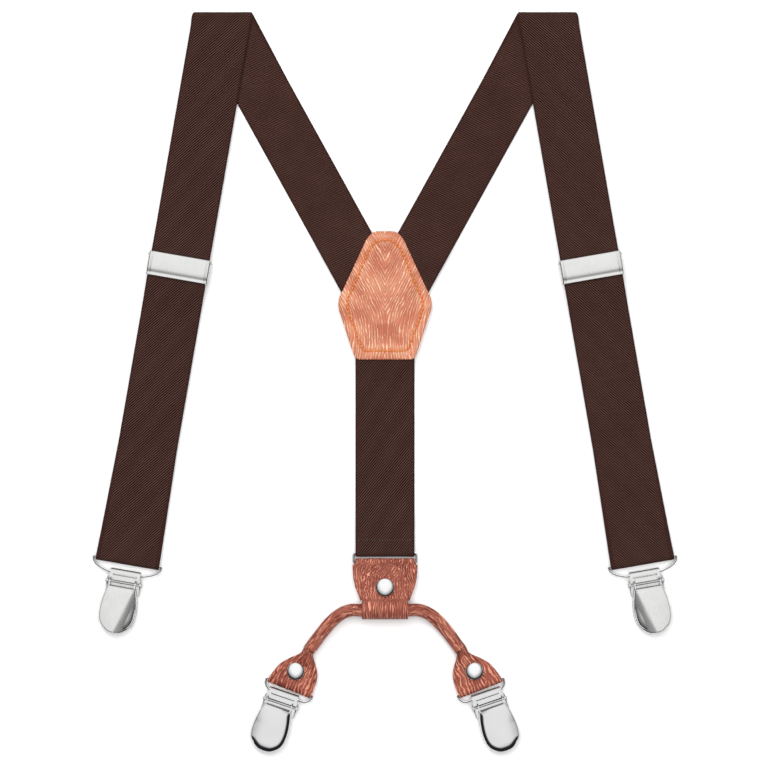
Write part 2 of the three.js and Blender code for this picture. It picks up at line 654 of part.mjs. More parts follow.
// ---------- the whole object ----------
[['left', -1], ['right', 1]].forEach(([name, sign]) => {
  const side = new THREE.Group();
  side.scale.x = sign;
  suspenders.add(side);
  buildShoulderWebbing(side, name + '_webbing');
  const strap = turnedGroup(side, SHOULDER.x, SHOULDER.y, SHOULDER.tilt);
  buildWebbingLoop(strap, name + '_webbing_loop');
  buildAdjuster(strap, name + '_adjuster');
  const frontBow = turnedGroup(strap, 0, -STRAP.end + CLIP_WIRE + GAP + WEB.thickness, 0);
  buildClip(frontBow, name + '_front', FRONT_WIRE, 0, 0, satinNickel);
  const fold = new THREE.Vector2(0, END.fold).rotateAround(new THREE.Vector2(), END.tilt);
  const end = turnedGroup(side, END.x + fold.x, END.y + fold.y, END.tilt);
  buildHarnessEnd(end, name + '_harness_end');
  buildClip(end, name + '_rear', REAR_WIRE, 1.6, THREE.MathUtils.degToRad(-2.3), brightChrome);
});
buildPatch();
buildBackWebbing();
put(suspenders, 'rear_ring', wireRing(ringPath(18.65, TAB.ring, BACK.ring, 1.6), RING_WIRE, RING_Z), brightChrome);
buildRearTab();
buildKeeper();
buildRivet(suspenders, 'keeper_rivet', RIVET.y, 6.9);
buildCord();

export default suspenders;
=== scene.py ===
"""Y-back clip-on suspenders laid out flat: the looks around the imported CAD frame.

Local shapes are drawn in millimetres, as the CAD draws them, and placed in metres in the row frame.
"""

import math

import bmesh
import bpy
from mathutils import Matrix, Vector, noise


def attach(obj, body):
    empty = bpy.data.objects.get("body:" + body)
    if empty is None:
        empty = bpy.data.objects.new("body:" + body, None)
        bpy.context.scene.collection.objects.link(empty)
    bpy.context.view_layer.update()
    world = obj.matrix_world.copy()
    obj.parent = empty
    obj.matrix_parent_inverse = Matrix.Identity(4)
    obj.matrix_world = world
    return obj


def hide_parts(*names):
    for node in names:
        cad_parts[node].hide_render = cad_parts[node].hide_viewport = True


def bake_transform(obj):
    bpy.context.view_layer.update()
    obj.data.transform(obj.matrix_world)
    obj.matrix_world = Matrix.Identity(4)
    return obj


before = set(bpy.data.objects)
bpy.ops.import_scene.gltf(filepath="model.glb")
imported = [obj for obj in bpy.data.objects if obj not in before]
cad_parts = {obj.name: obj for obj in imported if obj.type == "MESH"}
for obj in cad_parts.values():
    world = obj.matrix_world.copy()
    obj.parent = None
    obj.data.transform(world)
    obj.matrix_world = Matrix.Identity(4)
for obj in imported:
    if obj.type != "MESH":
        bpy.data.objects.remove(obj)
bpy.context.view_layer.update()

# ---------- dimensions shared with the CAD, in millimetres ----------
MM = 0.001
GAP = 0.3
WEB_WIDTH = 35
WEB_BACK_WIDTH = 33
WEB_END_WIDTH = 38
WEB_THICK = 1.3
LEATHER = 1.3
PATCH_THICK = 1.2
LOW_Z = WEB_THICK / 2
UPPER_Z = LOW_Z + WEB_THICK + GAP
BED_Z = 1.5 + WEB_THICK / 2
BAR_Z = 2.3
RING_Z = 2.4
SHOULDER = (96.2, 218.65)
STRAP_TILT = math.radians(9.85)
DIAGONAL_TILT = math.radians(28.9)
END_TILT = math.radians(21.2)
REAR_YAW = math.radians(-2.3)
ADJUSTER = 152
STRAP_END = 331
BAR = -STRAP_END + 0.7 + GAP + WEB_THICK
END_PLACE = (57.3 - 2.3 * math.sin(END_TILT), -181.6 + 2.3 * math.cos(END_TILT))
REAR_SHIFT = 1.6
REAR_DROP = 5.7
FRONT_DROP = 7.5
RIVET_Y = -120.7
CORD_Y = -134.1
CORD_Z = 5.5
CORD_RADIUS = 3.9
SIDES = (("left", -1), ("right", 1))

# ---------- camera, straight above as the photograph was taken ----------
camera_data = bpy.data.cameras.new("camera")
camera_data.sensor_width = 36
CAMERA_HEIGHT = 2.5
VIEW_WIDTH = 0.4572
camera_data.lens = 36 * CAMERA_HEIGHT / VIEW_WIDTH
camera = bpy.data.objects.new("camera", camera_data)
camera.location = (0.0003, -0.0012, CAMERA_HEIGHT)
bpy.context.scene.collection.objects.link(camera)
bpy.context.scene.camera = camera


# ---------- material nodes ----------
class Graph:
    """A material's node tree with short calls for its nodes."""

    def __init__(self, name, **sockets):
        self.material = bpy.data.materials.new(name)
        self.material.use_nodes = True
        self.tree = self.material.node_tree
        self.shader = self.tree.nodes["Principled BSDF"]
        for key, value in sockets.items():
            self.shader.inputs[key.replace("_", " ")].default_value = value

    def node(self, kind, inputs=(), **settings):
        made = self.tree.nodes.new(kind)
        for key, value in settings.items():
            setattr(made, key, value)
        for key, value in dict(inputs).items():
            if isinstance(value, bpy.types.NodeSocket):
                self.tree.links.new(value, made.inputs[key])
            else:
                made.inputs[key].default_value = value
        return made

    def math(self, operation, a, b=0.0):
        return self.node("ShaderNodeMath", {0: a, 1: b}, operation=operation).outputs[0]

    def place(self, angle=0.0, origin=(0, 0, 0), scale=(1, 1, 1)):
        """Object coordinates in millimetres, turned so that Y runs along a strap."""
        coordinates = self.node("ShaderNodeTexCoord").outputs["Object"]
        shifted = self.node(
            "ShaderNodeVectorMath", {0: coordinates, 1: Vector(origin) * MM}, operation="SUBTRACT"
        ).outputs[0]
        turned = self.node(
            "ShaderNodeMapping",
            {"Vector": shifted, "Rotation": (0, 0, angle), "Scale": (1000, 1000, 1000)},
        ).outputs[0]
        return self.node("ShaderNodeVectorMath", {0: turned, 1: scale}, operation="MULTIPLY").outputs[0]

    def noise(self, vector, scale, detail=2.0, roughness=0.5):
        return self.node(
            "ShaderNodeTexNoise",
            {"Vector": vector, "Scale": scale, "Detail": detail, "Roughness": roughness},
        ).outputs["Fac"]

    def ramp(self, value, *stops):
        made = self.node("ShaderNodeValToRGB", {"Fac": value})
        elements = made.color_ramp.elements
        while len(elements) < len(stops):
            elements.new(0.5)
        for element, (at, colour) in zip(elements, stops):
            element.position = at
            element.color = (*colour, 1)
        return made.outputs["Color"]

    def spread(self, value, low, high, new_low, new_high):
        return self.node(
            "ShaderNodeMapRange",
            {"Value": value, "From Min": low, "From Max": high, "To Min": new_low, "To Max": new_high},
        ).outputs[0]

    def bump(self, height, distance, strength=1.0):
        made = self.node(
            "ShaderNodeBump", {"Height": height, "Distance": distance, "Strength": strength}
        )
        self.tree.links.new(made.outputs["Normal"], self.shader.inputs["Normal"])

    def link(self, output, name):
        self.tree.links.new(output, self.shader.inputs[name])


STUDIO = 1.2  # how brightly the studio lights a flat surface, against a display white of 1


def srgb(red, green, blue):
    """The base colour that shows as these display values, from 0 to 255, under the studio's light."""
    def one(v):
        v /= 255
        return (v / 12.92 if v <= 0.04045 else ((v + 0.055) / 1.055) ** 2.4) / STUDIO
    return one(red), one(green), one(blue)


YARN = ((0.25, srgb(12, 3, 3)), (0.5, srgb(38, 18, 16)), (0.8, srgb(84, 57, 50)), (1.0, srgb(124, 98, 88)))


def webbing_material(name, angle, origin, half, slant, pitch=1.15, depth=1.0, tint=(0.56, 0.46, 0.46)):
    """Elastic twill: slanting ribs of two-ply yarn, broken by the weft, with a plain selvedge."""
    g = Graph(name, Roughness=0.9)
    g.shader.inputs["Specular IOR Level"].default_value = 0.12
    g.shader.inputs["Sheen Weight"].default_value = 0.02
    at = g.place(angle, origin)
    parts = g.node("ShaderNodeSeparateXYZ", {0: at}).outputs
    across, along = parts[0], parts[1]
    wander = g.math("MULTIPLY", g.math("SUBTRACT", g.noise(at, 0.35, 3), 0.5), 0.55)
    slope = math.radians(50)
    run = g.math(
        "ADD",
        g.math("MULTIPLY", across, slant * math.sin(slope)),
        g.math("MULTIPLY", along, -math.cos(slope)),
    )
    ribs = g.math("SINE", g.math("MULTIPLY", g.math("ADD", run, wander), 2 * math.pi / pitch))
    ribs = g.spread(ribs, -1, 1, 0, 1)
    weft = g.math("SINE", g.math("MULTIPLY", g.math("ADD", along, g.math("MULTIPLY", wander, 0.4)),
                                 2 * math.pi / 0.86))
    warp = g.math("SINE", g.math("MULTIPLY", g.math("ADD", across, wander), 2 * math.pi / 0.71))
    yarns = g.spread(g.math("MULTIPLY", weft, warp), -1, 1, 0, 1)
    fuzz = g.noise(at, 2.6, 4, 0.7)
    twill = g.math("ADD", g.math("MULTIPLY", ribs, 0.82), g.math("MULTIPLY", yarns, 0.18))
    edge = g.spread(g.math("ABSOLUTE", across), half - 1.2, half - 0.8, 0, 1)
    plain = g.math("ADD", g.math("MULTIPLY", yarns, 0.5), 0.25)
    height = g.node(
        "ShaderNodeMix", {"Factor": edge, "A": twill, "B": plain}, data_type="FLOAT"
    ).outputs["Result"]
    tone = g.math("ADD", g.math("MULTIPLY", height, depth), g.math("MULTIPLY", fuzz, 0.26))
    tone = g.math("ADD", tone, g.math("MULTIPLY", g.noise(at, 0.05, 2), 0.12))
    colour = g.ramp(tone, *[(at, [c * t for c, t in zip(colour, tint)]) for at, colour in YARN])
    g.link(colour, "Base Color")
    g.bump(g.math("ADD", height, g.math("MULTIPLY", fuzz, 0.25)), 0.00028, 0.9)
    return g.material


def leather_material(name, dark, middle, light, pitch, wander, coat=0.0):
    """Soft leather, creased into thin raised lines. The mesh carries a point's place on the flat leather,
    in millimetres across and along the creases, as its "flow"."""
    g = Graph(name, Roughness=0.5)
    g.shader.inputs["Specular IOR Level"].default_value = 0.35
    g.shader.inputs["Coat Weight"].default_value = coat
    g.shader.inputs["Coat Roughness"].default_value = 0.4
    flow = g.node("ShaderNodeAttribute", attribute_name="flow").outputs["Vector"]

    def stretched(across, along):
        inputs = {0: flow, 1: (across, along, 1)}
        return g.node("ShaderNodeVectorMath", inputs, operation="MULTIPLY").outputs[0]

    across = g.node("ShaderNodeSeparateXYZ", {0: flow}).outputs[0]
    wide_noise = g.noise(stretched(0.13, 0.06), 1.0, 2)
    wide_drift = g.math("MULTIPLY", g.math("SUBTRACT", wide_noise, 0.5), wander)
    fine_noise = g.noise(stretched(0.5, 0.2), 1.0, 2)
    fine_drift = g.math("MULTIPLY", g.math("SUBTRACT", fine_noise, 0.5), wander * 0.6)
    across = g.math("ADD", g.math("ADD", across, wide_drift), fine_drift)
    wave = g.math("SINE", g.math("MULTIPLY", across, 2 * math.pi / pitch))
    broken = g.spread(g.noise(stretched(0.4, 0.2), 1.0, 2, 0.6), 0.36, 0.6, 0.2, 1.0)
    height = g.math("MULTIPLY", g.spread(wave, -0.1, 0.95, 0, 1), broken)
    at = g.place()
    pebble = g.node(
        "ShaderNodeTexVoronoi", {"Vector": at, "Scale": 1.5, "Randomness": 1.0}, feature="DISTANCE_TO_EDGE"
    ).outputs["Distance"]
    pebble = g.spread(pebble, 0, 0.22, 0, 1)
    patches = g.noise(at, 0.11, 3)
    # The colour follows the creases' height, from the wave above and from the mesh's crease attribute:
    # painted highlight on the ridges and painted shade in the furrows, as well as their bump.
    raised = g.node("ShaderNodeAttribute", attribute_name="crease").outputs["Fac"]
    tone = g.math("ADD", g.math("MULTIPLY", height, 0.6), g.math("MULTIPLY", patches, 0.26))
    tone = g.math("ADD", tone, g.math("MULTIPLY", raised, 0.4))
    tone = g.math("ADD", tone, g.math("MULTIPLY", pebble, 0.05))
    colour = g.ramp(tone, (0.26, dark), (0.46, middle), (0.92, light))
    g.link(colour, "Base Color")
    g.link(g.spread(height, 0, 1, 0.6, 0.42), "Roughness")
    g.bump(g.math("ADD", height, g.math("MULTIPLY", pebble, 0.12)), 0.0004, 1.0)
    return g.material


def thread_material(name, dark, light):
    """Twisted sewing thread."""
    g = Graph(name, Roughness=0.6)
    g.shader.inputs["Sheen Weight"].default_value = 0.2
    at = g.place()
    fibres = g.noise(at, 3.5, 3, 0.6)
    g.link(g.ramp(fibres, (0.3, dark), (0.65, light)), "Base Color")
    g.bump(fibres, 0.0001, 0.7)
    return g.material


def metal_material(name, colour, roughness, grain, blotch):
    """Plated steel: a fine brushed or polished surface with slight variation and tiny dents."""
    g = Graph(name, Metallic=1.0)
    at = g.place()
    brushed = g.noise(g.place(scale=(1, 0.12, 1)), grain, 4, 0.65)
    cloud = g.noise(at, 0.12, 2)
    shade = g.ramp(cloud, (0.3, [c * (1 - blotch) for c in colour]), (0.7, colour))
    g.link(shade, "Base Color")
    g.link(g.spread(brushed, 0.25, 0.75, roughness * 0.75, roughness * 1.3), "Roughness")
    g.bump(g.math("ADD", g.math("MULTIPLY", brushed, 0.35), g.noise(at, 0.5, 2)), 0.00004, 0.5)
    return g.material


def plastic_material(name, colour):
    """Moulded plastic with a faint matt texture."""
    g = Graph(name)
    speckle = g.noise(g.place(), 3.0, 3)
    g.link(g.ramp(speckle, (0.3, [c * 0.86 for c in colour]), (0.7, colour)), "Base Color")
    g.link(g.spread(speckle, 0.3, 0.7, 0.6, 0.45), "Roughness")
    g.bump(speckle, 0.00005, 0.5)
    return g.material


tan_leather = leather_material(
    "tan_leather", srgb(186, 104, 78), srgb(209, 130, 101), srgb(255, 200, 164), 1.6, 3.4,
    coat=0.03
)
red_leather = leather_material(
    "red_leather", srgb(112, 48, 36), srgb(162, 86, 68), srgb(238, 160, 132), 1.7, 5.0, coat=0.06
)
orange_thread = thread_material("orange_thread", srgb(222, 112, 26), srgb(250, 150, 56))
brown_thread = thread_material("brown_thread", srgb(22, 12, 11), srgb(58, 36, 32))
satin_nickel = metal_material("satin_nickel", (0.66, 0.66, 0.652), 0.26, 2.2, 0.05)
polished_chrome = metal_material("polished_chrome", (0.76, 0.76, 0.765), 0.08, 1.2, 0.02)
bright_chrome = metal_material("bright_chrome", (0.6, 0.6, 0.605), 0.1, 1.2, 0.03)
clip_insert = plastic_material("clip_insert", srgb(226, 222, 212))


# ---------- placing ----------
def turned(x=0.0, y=0.0, tilt=0.0, side=1, inside=None):
    """A placer: local millimetres, turned by tilt and moved, then mirrored to a side, in metres."""
    cos, sin = math.cos(tilt), math.sin(tilt)

    def local(p):
        return (x + p[0] * cos - p[1] * sin, y + p[0] * sin + p[1] * cos, p[2])

    if inside is not None:
        return lambda p: inside(local(p))
    return lambda p: Vector((side * local(p)[0], local(p)[1], local(p)[2])) * MM


CENTRE = turned()
STRAP = {s: turned(*SHOULDER, STRAP_TILT, sign) for s, sign in SIDES}
FRONT_BOW = {s: turned(0, BAR, inside=STRAP[s]) for s, _ in SIDES}
REAR_BOW = {s: turned(*END_PLACE, END_TILT, sign) for s, sign in SIDES}
CLIP = {
    **{(s, "front"): turned(0, -FRONT_DROP, inside=FRONT_BOW[s]) for s, _ in SIDES},
    **{(s, "rear"): turned(REAR_SHIFT, -REAR_DROP, REAR_YAW, inside=REAR_BOW[s]) for s, _ in SIDES},
}


def piece(name, shape, material, slot_name, replaces=(), body=None, sharp=None):
    """A closed mesh object whose normals face out. A shape is (vertices, faces), and for leather
    also the creases' height at each vertex, from 0 in a furrow to 1 on a ridge, and its place on
    the flat leather."""
    verts, faces, *looks = shape
    mesh = bpy.data.meshes.new(name)
    mesh.from_pydata([tuple(v) for v in verts], [], faces)
    if looks:
        tones, flows = looks
        # The crease attribute is the tone that the leather material paints: lighter on ridges, a painted
        # highlight, and darker in furrows, a painted shade.
        mesh.attributes.new("crease", "FLOAT", "POINT").data.foreach_set("value", tones)
        flat_places = [c for at in flows for c in at]
        mesh.attributes.new("flow", "FLOAT_VECTOR", "POINT").data.foreach_set("vector", flat_places)
    bm = bmesh.new()
    bm.from_mesh(mesh)
    bmesh.ops.remove_doubles(bm, verts=bm.verts, dist=1e-7)
    bmesh.ops.recalc_face_normals(bm, faces=bm.faces)
    bm.to_mesh(mesh)
    bm.free()
    mesh.shade_smooth()
    if sharp:
        mesh.set_sharp_from_angle(angle=math.radians(sharp))
    mesh.materials.append(material)
    obj = bpy.data.objects.new(name, mesh)
    bpy.context.scene.collection.objects.link(obj)
    if replaces:
        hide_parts(*replaces)
    if body:
        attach(obj, body)
    return obj


# ---------- shape makers ----------
def arc(cy, cz, radius, start, end, steps=10):
    """Points of an arc in (y, z), from the start angle to the end angle."""
    turns = [start + (end - start) * i / steps for i in range(steps + 1)]
    return [(cy + radius * math.cos(t), cz + radius * math.sin(t)) for t in turns]


def spaced(points, step):
    """A polyline with its long stretches split; keeps its own points."""
    out = [Vector(points[0])]
    for p in points[1:]:
        start = out[-1]
        p = Vector(p)
        long = (p - start).length
        if long < 1e-4:
            continue
        count = max(1, math.ceil(long / step))
        out += [start.lerp(p, (i + 1) / count) for i in range(count)]
    return out


def softened(points, passes):
    """The polyline with its corners eased."""
    for _ in range(passes):
        inner = [(a + 2 * b + c) / 4 for a, b, c in zip(points, points[1:], points[2:])]
        points = [points[0], *inner, points[-1]]
    return points


def clamp01(v):
    return min(1.0, max(0.0, v))


def evenly(v, v0, a, v1, b):
    return a + (b - a) * clamp01((v - v0) / (v1 - v0))


def width_at(points, y):
    """The x of an outline given by (y, x) points in falling y."""
    for (y0, x0), (y1, x1) in zip(points, points[1:]):
        if y >= y1 or (y1, x1) == points[-1]:
            return evenly(y, y0, x0, y1, x1)
    return points[-1][1]


def skin(spans, ring):
    """The faces between successive rings of points."""
    return [
        (a + k, a + (k + 1) % ring, a + ring + (k + 1) % ring, a + ring + k)
        for a in range(0, spans * ring, ring) for k in range(ring)
    ]


def strip(lefts, rights, thickness, columns, relief=None, ends=0.0, deep=0.0, flow=None):
    """A band between two edges, in metres, with rounded edges. relief(s, x, top) gives the
    creases' height from 0 to 1 and raises it by up to deep, in millimetres: s is the distance
    along, x that from the left edge. flow(s, x) is the place on the flat leather that the creases
    follow."""
    half_t = thickness * MM / 2
    middles = [(a + b) / 2 for a, b in zip(lefts, rights)]
    along = [0.0]
    for a, b in zip(middles, middles[1:]):
        along.append(along[-1] + (b - a).length / MM)
    total = along[-1]
    last = len(middles) - 1
    verts, faces, tones, flows = [], [], [], []
    count = 0
    for i, (left, right) in enumerate(zip(lefts, rights)):
        tangent = middles[min(i + 1, last)] - middles[max(i - 1, 0)]
        across = right - left
        width = across.length / MM
        up = across.cross(tangent).normalized()
        soft = min(0.45, thickness / 2 / width)
        edge = [0, 0.08 * soft, 0.3 * soft, 0.65 * soft]
        inner = [soft + (1 - 2 * soft) * k / columns for k in range(columns + 1)]
        shares = edge + inner + [1 - e for e in reversed(edge)]
        count = len(shares)
        end_near = min(along[i], total - along[i])
        end_share = 1.0 if not ends else math.sqrt(max(0.02, 1 - (1 - min(1, end_near / ends)) ** 2))
        top, bottom, top_tones, bottom_tones, top_flows = [], [], [], [], []
        for u in shares:
            near = min(u, 1 - u)
            fall = 1.0 if near >= soft else math.sqrt(max(0.0, 1 - (1 - near / soft) ** 2))
            base = left.lerp(right, u)
            lift = half_t * fall * end_share
            # The relief is also kept as each point's tone: painted highlight where it is high, painted shade
            # where it is low.
            high = relief(along[i], u * width, True) if relief else 0.5
            low = relief(along[i], u * width, False) if relief else 0.5
            top.append(base + up * (lift + (high - 0.5) * deep * MM * fall * end_share))
            bottom.append(base - up * (lift + (low - 0.5) * deep * MM * fall * end_share))
            # The top's tone drops to a tenth at the rounded edges and the ends: painted shade where the
            # leather turns down.
            top_tones.append(high * (0.1 + 0.9 * fall * end_share))
            bottom_tones.append(low)
            top_flows.append(flow(along[i], u * width) if flow else (u * width, along[i], 0.0))
        verts += top + bottom[1:-1][::-1]
        tones += top_tones + bottom_tones[1:-1][::-1]
        flows += top_flows + top_flows[1:-1][::-1]
    ring = 2 * count - 2
    faces += skin(last, ring)
    for base in (0, last * ring):
        for k in range(count - 1):
            low_a, low_b = (ring - k) % ring, ring - k - 1
            quad = [base + k, base + k + 1, base + low_b, base + low_a]
            face = list(dict.fromkeys(quad))
            if len(face) > 2:
                faces.append(tuple(face))
    return verts, faces, tones, flows


def side_strip(place, route, edges, thickness, step, columns, passes=2, relief=None, ends=0.0, deep=0.0,
               flow=None):
    """A band whose route is drawn in (y, z); edges(y, z) gives its left and right x."""
    points = softened(spaced(route, step), passes)
    lefts = [place((edges(y, z)[0], y, z)) for y, z in points]
    rights = [place((edges(y, z)[1], y, z)) for y, z in points]
    return strip(lefts, rights, thickness, columns, relief, ends, deep, flow)


def tube(points, radius, sides, shape):
    """A round bar along points, in metres. shape(i, turn) scales the radius."""
    count = len(points)
    verts, tones, flows = [], [], []
    normal = Vector((0, 0, 1))
    for i, p in enumerate(points):
        tangent = (points[min(i + 1, count - 1)] - points[max(i - 1, 0)]).normalized()
        normal = (normal - tangent * normal.dot(tangent)).normalized()
        other = tangent.cross(normal)
        for k in range(sides):
            turn = 2 * math.pi * k / sides
            scale = shape(i, turn)
            r = radius * MM * scale
            # The tone follows the radius: painted highlight where the leather swells, painted shade where it
            # sinks.
            tones.append(clamp01(0.5 + (scale - 0.95) * 9))
            flows.append((radius * math.cos(turn), i * 0.5, radius * math.sin(turn)))
            verts.append(p + normal * (r * math.cos(turn)) + other * (r * math.sin(turn)))
    faces = skin(count - 1, sides)
    faces.append(tuple(range(sides)))
    faces.append(tuple((count - 1) * sides + k for k in range(sides)))
    return verts, faces, tones, flows


def rings(loops):
    """Closed loops of the same number of points, skinned one to the next. A loop of one point
    closes an end."""
    verts, faces, starts = [], [], []
    for loop in loops:
        starts.append(len(verts))
        verts += loop
    for (a, low), (b, high) in zip(zip(starts, loops), zip(starts[1:], loops[1:])):
        n = max(len(low), len(high))
        for k in range(n):
            m = (k + 1) % n
            corner = lambda start, loop, j: start + (j if len(loop) > 1 else 0)
            face = [corner(a, low, k), corner(a, low, m), corner(b, high, m), corner(b, high, k)]
            faces.append(tuple(dict.fromkeys(face)))
    return verts, faces


def joined(*parts):
    verts, faces = [], []
    for v, f, *_ in parts:
        start = len(verts)
        verts += v
        faces += [tuple(start + i for i in face) for face in f]
    return verts, faces


def spline(points, per):
    """A Catmull-Rom curve through the points."""
    points = [Vector(p) for p in points]
    padded = [2 * points[0] - points[1], *points, 2 * points[-1] - points[-2]]
    out = []
    for i in range(1, len(padded) - 2):
        p0, p1, p2, p3 = padded[i - 1:i + 3]
        for k in range(per):
            t = k / per
            out.append(
                0.5 * (2 * p1 + (p2 - p0) * t + (2 * p0 - 5 * p1 + 4 * p2 - p3) * t * t
                       + (3 * p1 - p0 - 3 * p2 + p3) * t ** 3)
            )
    out.append(points[-1])
    return out


# ---------- the rolled cord ----------
CORD_HALF = [
    (45.4, -158.4, 4.1), (43.3, -155.6, 4.1), (38.5, -149, 4.1), (32.5, -141.8, 4.4),
    (26.4, -136.6, 4.9), (20.4, -134.2, 5.4), (15, CORD_Y, CORD_Z), (7, CORD_Y, CORD_Z),
]
cord_line = spline(
    [(-x, y, z) for x, y, z in CORD_HALF] + [(x, y, z) for x, y, z in reversed(CORD_HALF)], 16
)
cord_points = [p * MM for p in cord_line]


def cord_shape(i, turn):
    """Long folds of the rolled leather, the lapped seam along its side, and the ends squeezed
    into the flares."""
    far = i * 0.5
    fold = 0.06 * noise.noise(Vector((math.cos(turn) * 2.6, math.sin(turn) * 2.6, far * 0.05)))
    crease = 0.04 * noise.noise(Vector((math.cos(turn) * 6, math.sin(turn) * 6, far * 0.16 + 9)))
    seam = math.atan2(math.sin(turn + 1.0), math.cos(turn + 1.0))
    squeeze = 0.22 * (1 - clamp01(min(i, len(cord_points) - 1 - i) * 0.5 / 5.5)) ** 1.5
    # Through the tube's tone this same scale also paints shade into the folds, the seam and the squeezed
    # ends.
    return min(0.99, 0.95 + fold + crease) - 0.06 * math.exp(-(seam / 0.13) ** 2) - squeeze


cord = piece("harness_cord_leather", tube(cord_points, CORD_RADIUS, 48, shape=cord_shape), red_leather,
             "red_leather", ["harness_cord"], "harness")
cord_length = sum((b - a).length for a, b in zip(cord_points, cord_points[1:]))
tuple(cord_points[0])
[tuple(p) for p in cord_points]


# ---------- webbing ----------
def web_relief(s, x, top):
    """Elastic webbing is never quite flat."""
    return 0.5 + noise.noise(Vector((x * 0.12, s * 0.05, 3.0)))


def paired(stations, step):
    """Both edges of a band, split together so that they keep the same number of points."""
    lefts, rights = [Vector(stations[0][0])], [Vector(stations[0][1])]
    for left, right in stations[1:]:
        start_l, start_r = lefts[-1], rights[-1]
        left, right = Vector(left), Vector(right)
        far = max((left - start_l).length, (right - start_r).length)
        count = max(1, math.ceil(far / step))
        lefts += [start_l.lerp(left, (i + 1) / count) for i in range(count)]
        rights += [start_r.lerp(right, (i + 1) / count) for i in range(count)]
    return lefts, rights


def band_between(name, place, stations, step, material, replaces, body=None, passes=1):
    lefts, rights = paired(stations, step)
    lefts, rights = softened(lefts, passes), softened(rights, passes)
    shape = strip([place(p) for p in lefts], [place(p) for p in rights], WEB_THICK, 20, web_relief, deep=0.08)
    return piece(name, shape, material, "webbing", replaces, body)


FOLD_HALF = 18.1
MEET = 150.8  # where the strap's two front pieces meet, under the adjuster's lever


def strap_station(distance, z):
    """Edge points of the front strap, in the side's own flat millimetres."""
    half = WEB_WIDTH / 2
    down = (math.sin(STRAP_TILT), -math.cos(STRAP_TILT))
    out = (math.cos(STRAP_TILT), math.sin(STRAP_TILT))
    x, y = SHOULDER[0] + down[0] * distance, SHOULDER[1] + down[1] * distance
    return (
        (x - out[0] * half, y - out[1] * half, z),
        (x + out[0] * half, y + out[1] * half, z),
    )


def diagonal_station(distance, z):
    down = (-math.sin(DIAGONAL_TILT), -math.cos(DIAGONAL_TILT))
    out = (math.cos(DIAGONAL_TILT), -math.sin(DIAGONAL_TILT))
    x, y = GAP - down[0] * distance, 76 - down[1] * distance
    return (x, y, z), (x + out[0] * WEB_BACK_WIDTH, y + out[1] * WEB_BACK_WIDTH, z)


def fold_station(drop, z, lean=0.0, ease=0.0):
    """Edge points beside the shoulder fold, whose edges lean as they leave it."""
    left, right = SHOULDER[0] - FOLD_HALF + ease, SHOULDER[0] + FOLD_HALF - ease
    return (left + drop * lean, SHOULDER[1] - drop, z), (right + drop * lean, SHOULDER[1] - drop, z)


for side, sign in SIDES:
    flat_side = turned(side=sign)
    front_cloth = webbing_material(
        side + "_front_webbing", -sign * STRAP_TILT, (sign * SHOULDER[0], SHOULDER[1], 0), WEB_WIDTH / 2,
        -sign,
    )
    middle = diagonal_station(0, 0)
    middle = [(a + b) / 2 for a, b in zip(*middle)]
    back_cloth = webbing_material(
        side + "_back_webbing", sign * DIAGONAL_TILT, (sign * middle[0], middle[1], 0), WEB_BACK_WIDTH / 2,
        sign, pitch=0.98, depth=0.72, tint=(1.15, 1.1, 1.1),
    )
    fold_r = (UPPER_Z - LOW_Z) / 2
    fold = [
        fold_station(-fold_r * math.sin(t), LOW_Z + fold_r * (1 - math.cos(t)), 0, 0.7 * math.sin(t))
        for t in (math.pi * i / 10 for i in range(11))
    ]
    back = [
        ((GAP, 43.5 + GAP, BED_Z), (20.4, 43.5 + GAP, BED_Z)), diagonal_station(0, BED_Z),
        diagonal_station(16, BED_Z), diagonal_station(30, LOW_Z), diagonal_station(70, LOW_Z),
        diagonal_station(118, LOW_Z), fold_station(2, LOW_Z, -0.52),
    ] + fold[:6]
    diagonal = band_between(
        side + "_back_strap", flat_side, back, 2.0, back_cloth, [side + "_webbing"], "yoke"
    )
    front = fold[5:] + [fold_station(2, UPPER_Z, 0.18)] + [
        strap_station(d, z) for d, z in
        [(10, UPPER_Z), (60, UPPER_Z), (128, UPPER_Z), (144, 3.4), (147.2, 3.45), (149.4, 4.9), (MEET, 4.95)]
    ]
    upper = band_between(side + "_front_strap_upper", flat_side, front, 2.0, front_cloth, [side + "_webbing"])
    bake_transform(upper)

    round_z = 0.7 + GAP + WEB_THICK / 2
    loop = (
        [(-MEET, 4.95), (-162, 4.95), (-178, UPPER_Z), (BAR + 14, UPPER_Z), (BAR + 4, BAR_Z + round_z - 0.4)]
        + arc(BAR, BAR_Z, round_z, math.pi / 2, 1.5 * math.pi, 12)
        + [(BAR + 40, LOW_Z), (-ADJUSTER - 3, LOW_Z)]
        + arc(-ADJUSTER - 1, LOW_Z + 1.35, 1.35, -math.pi / 2, math.pi / 2, 10)
        + [(-ADJUSTER - 9, LOW_Z + 2.7)]
    )

    def loop_edges(y, z):
        half = evenly(y, BAR + 70, WEB_WIDTH / 2, BAR, WEB_END_WIDTH / 2)
        return -half, half

    shape = side_strip(STRAP[side], loop, loop_edges, WEB_THICK, 2.0, 20, 1, web_relief, deep=0.08)
    lower = piece(side + "_front_strap_lower", shape, front_cloth, "webbing", [side + "_webbing_loop"])
    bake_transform(lower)

back_cloth = webbing_material("centre_webbing", 0.0, (0, 0, 0), WEB_WIDTH / 2, 1)
round_z = 0.8 + GAP + WEB_THICK / 2
back_route = (
    [(43.5, BED_Z), (12.1, BED_Z), (2.1, LOW_Z), (-68, LOW_Z), (-83, UPPER_Z), (-92.8, UPPER_Z)]
    + arc(-100.3, RING_Z, round_z, math.pi / 2, 1.5 * math.pi, 12) + [(-84, LOW_Z)]
)
shape = side_strip(CENTRE, back_route, lambda y, z: (-WEB_WIDTH / 2, WEB_WIDTH / 2), WEB_THICK, 2.0, 20, 1,
                   web_relief, deep=0.08)
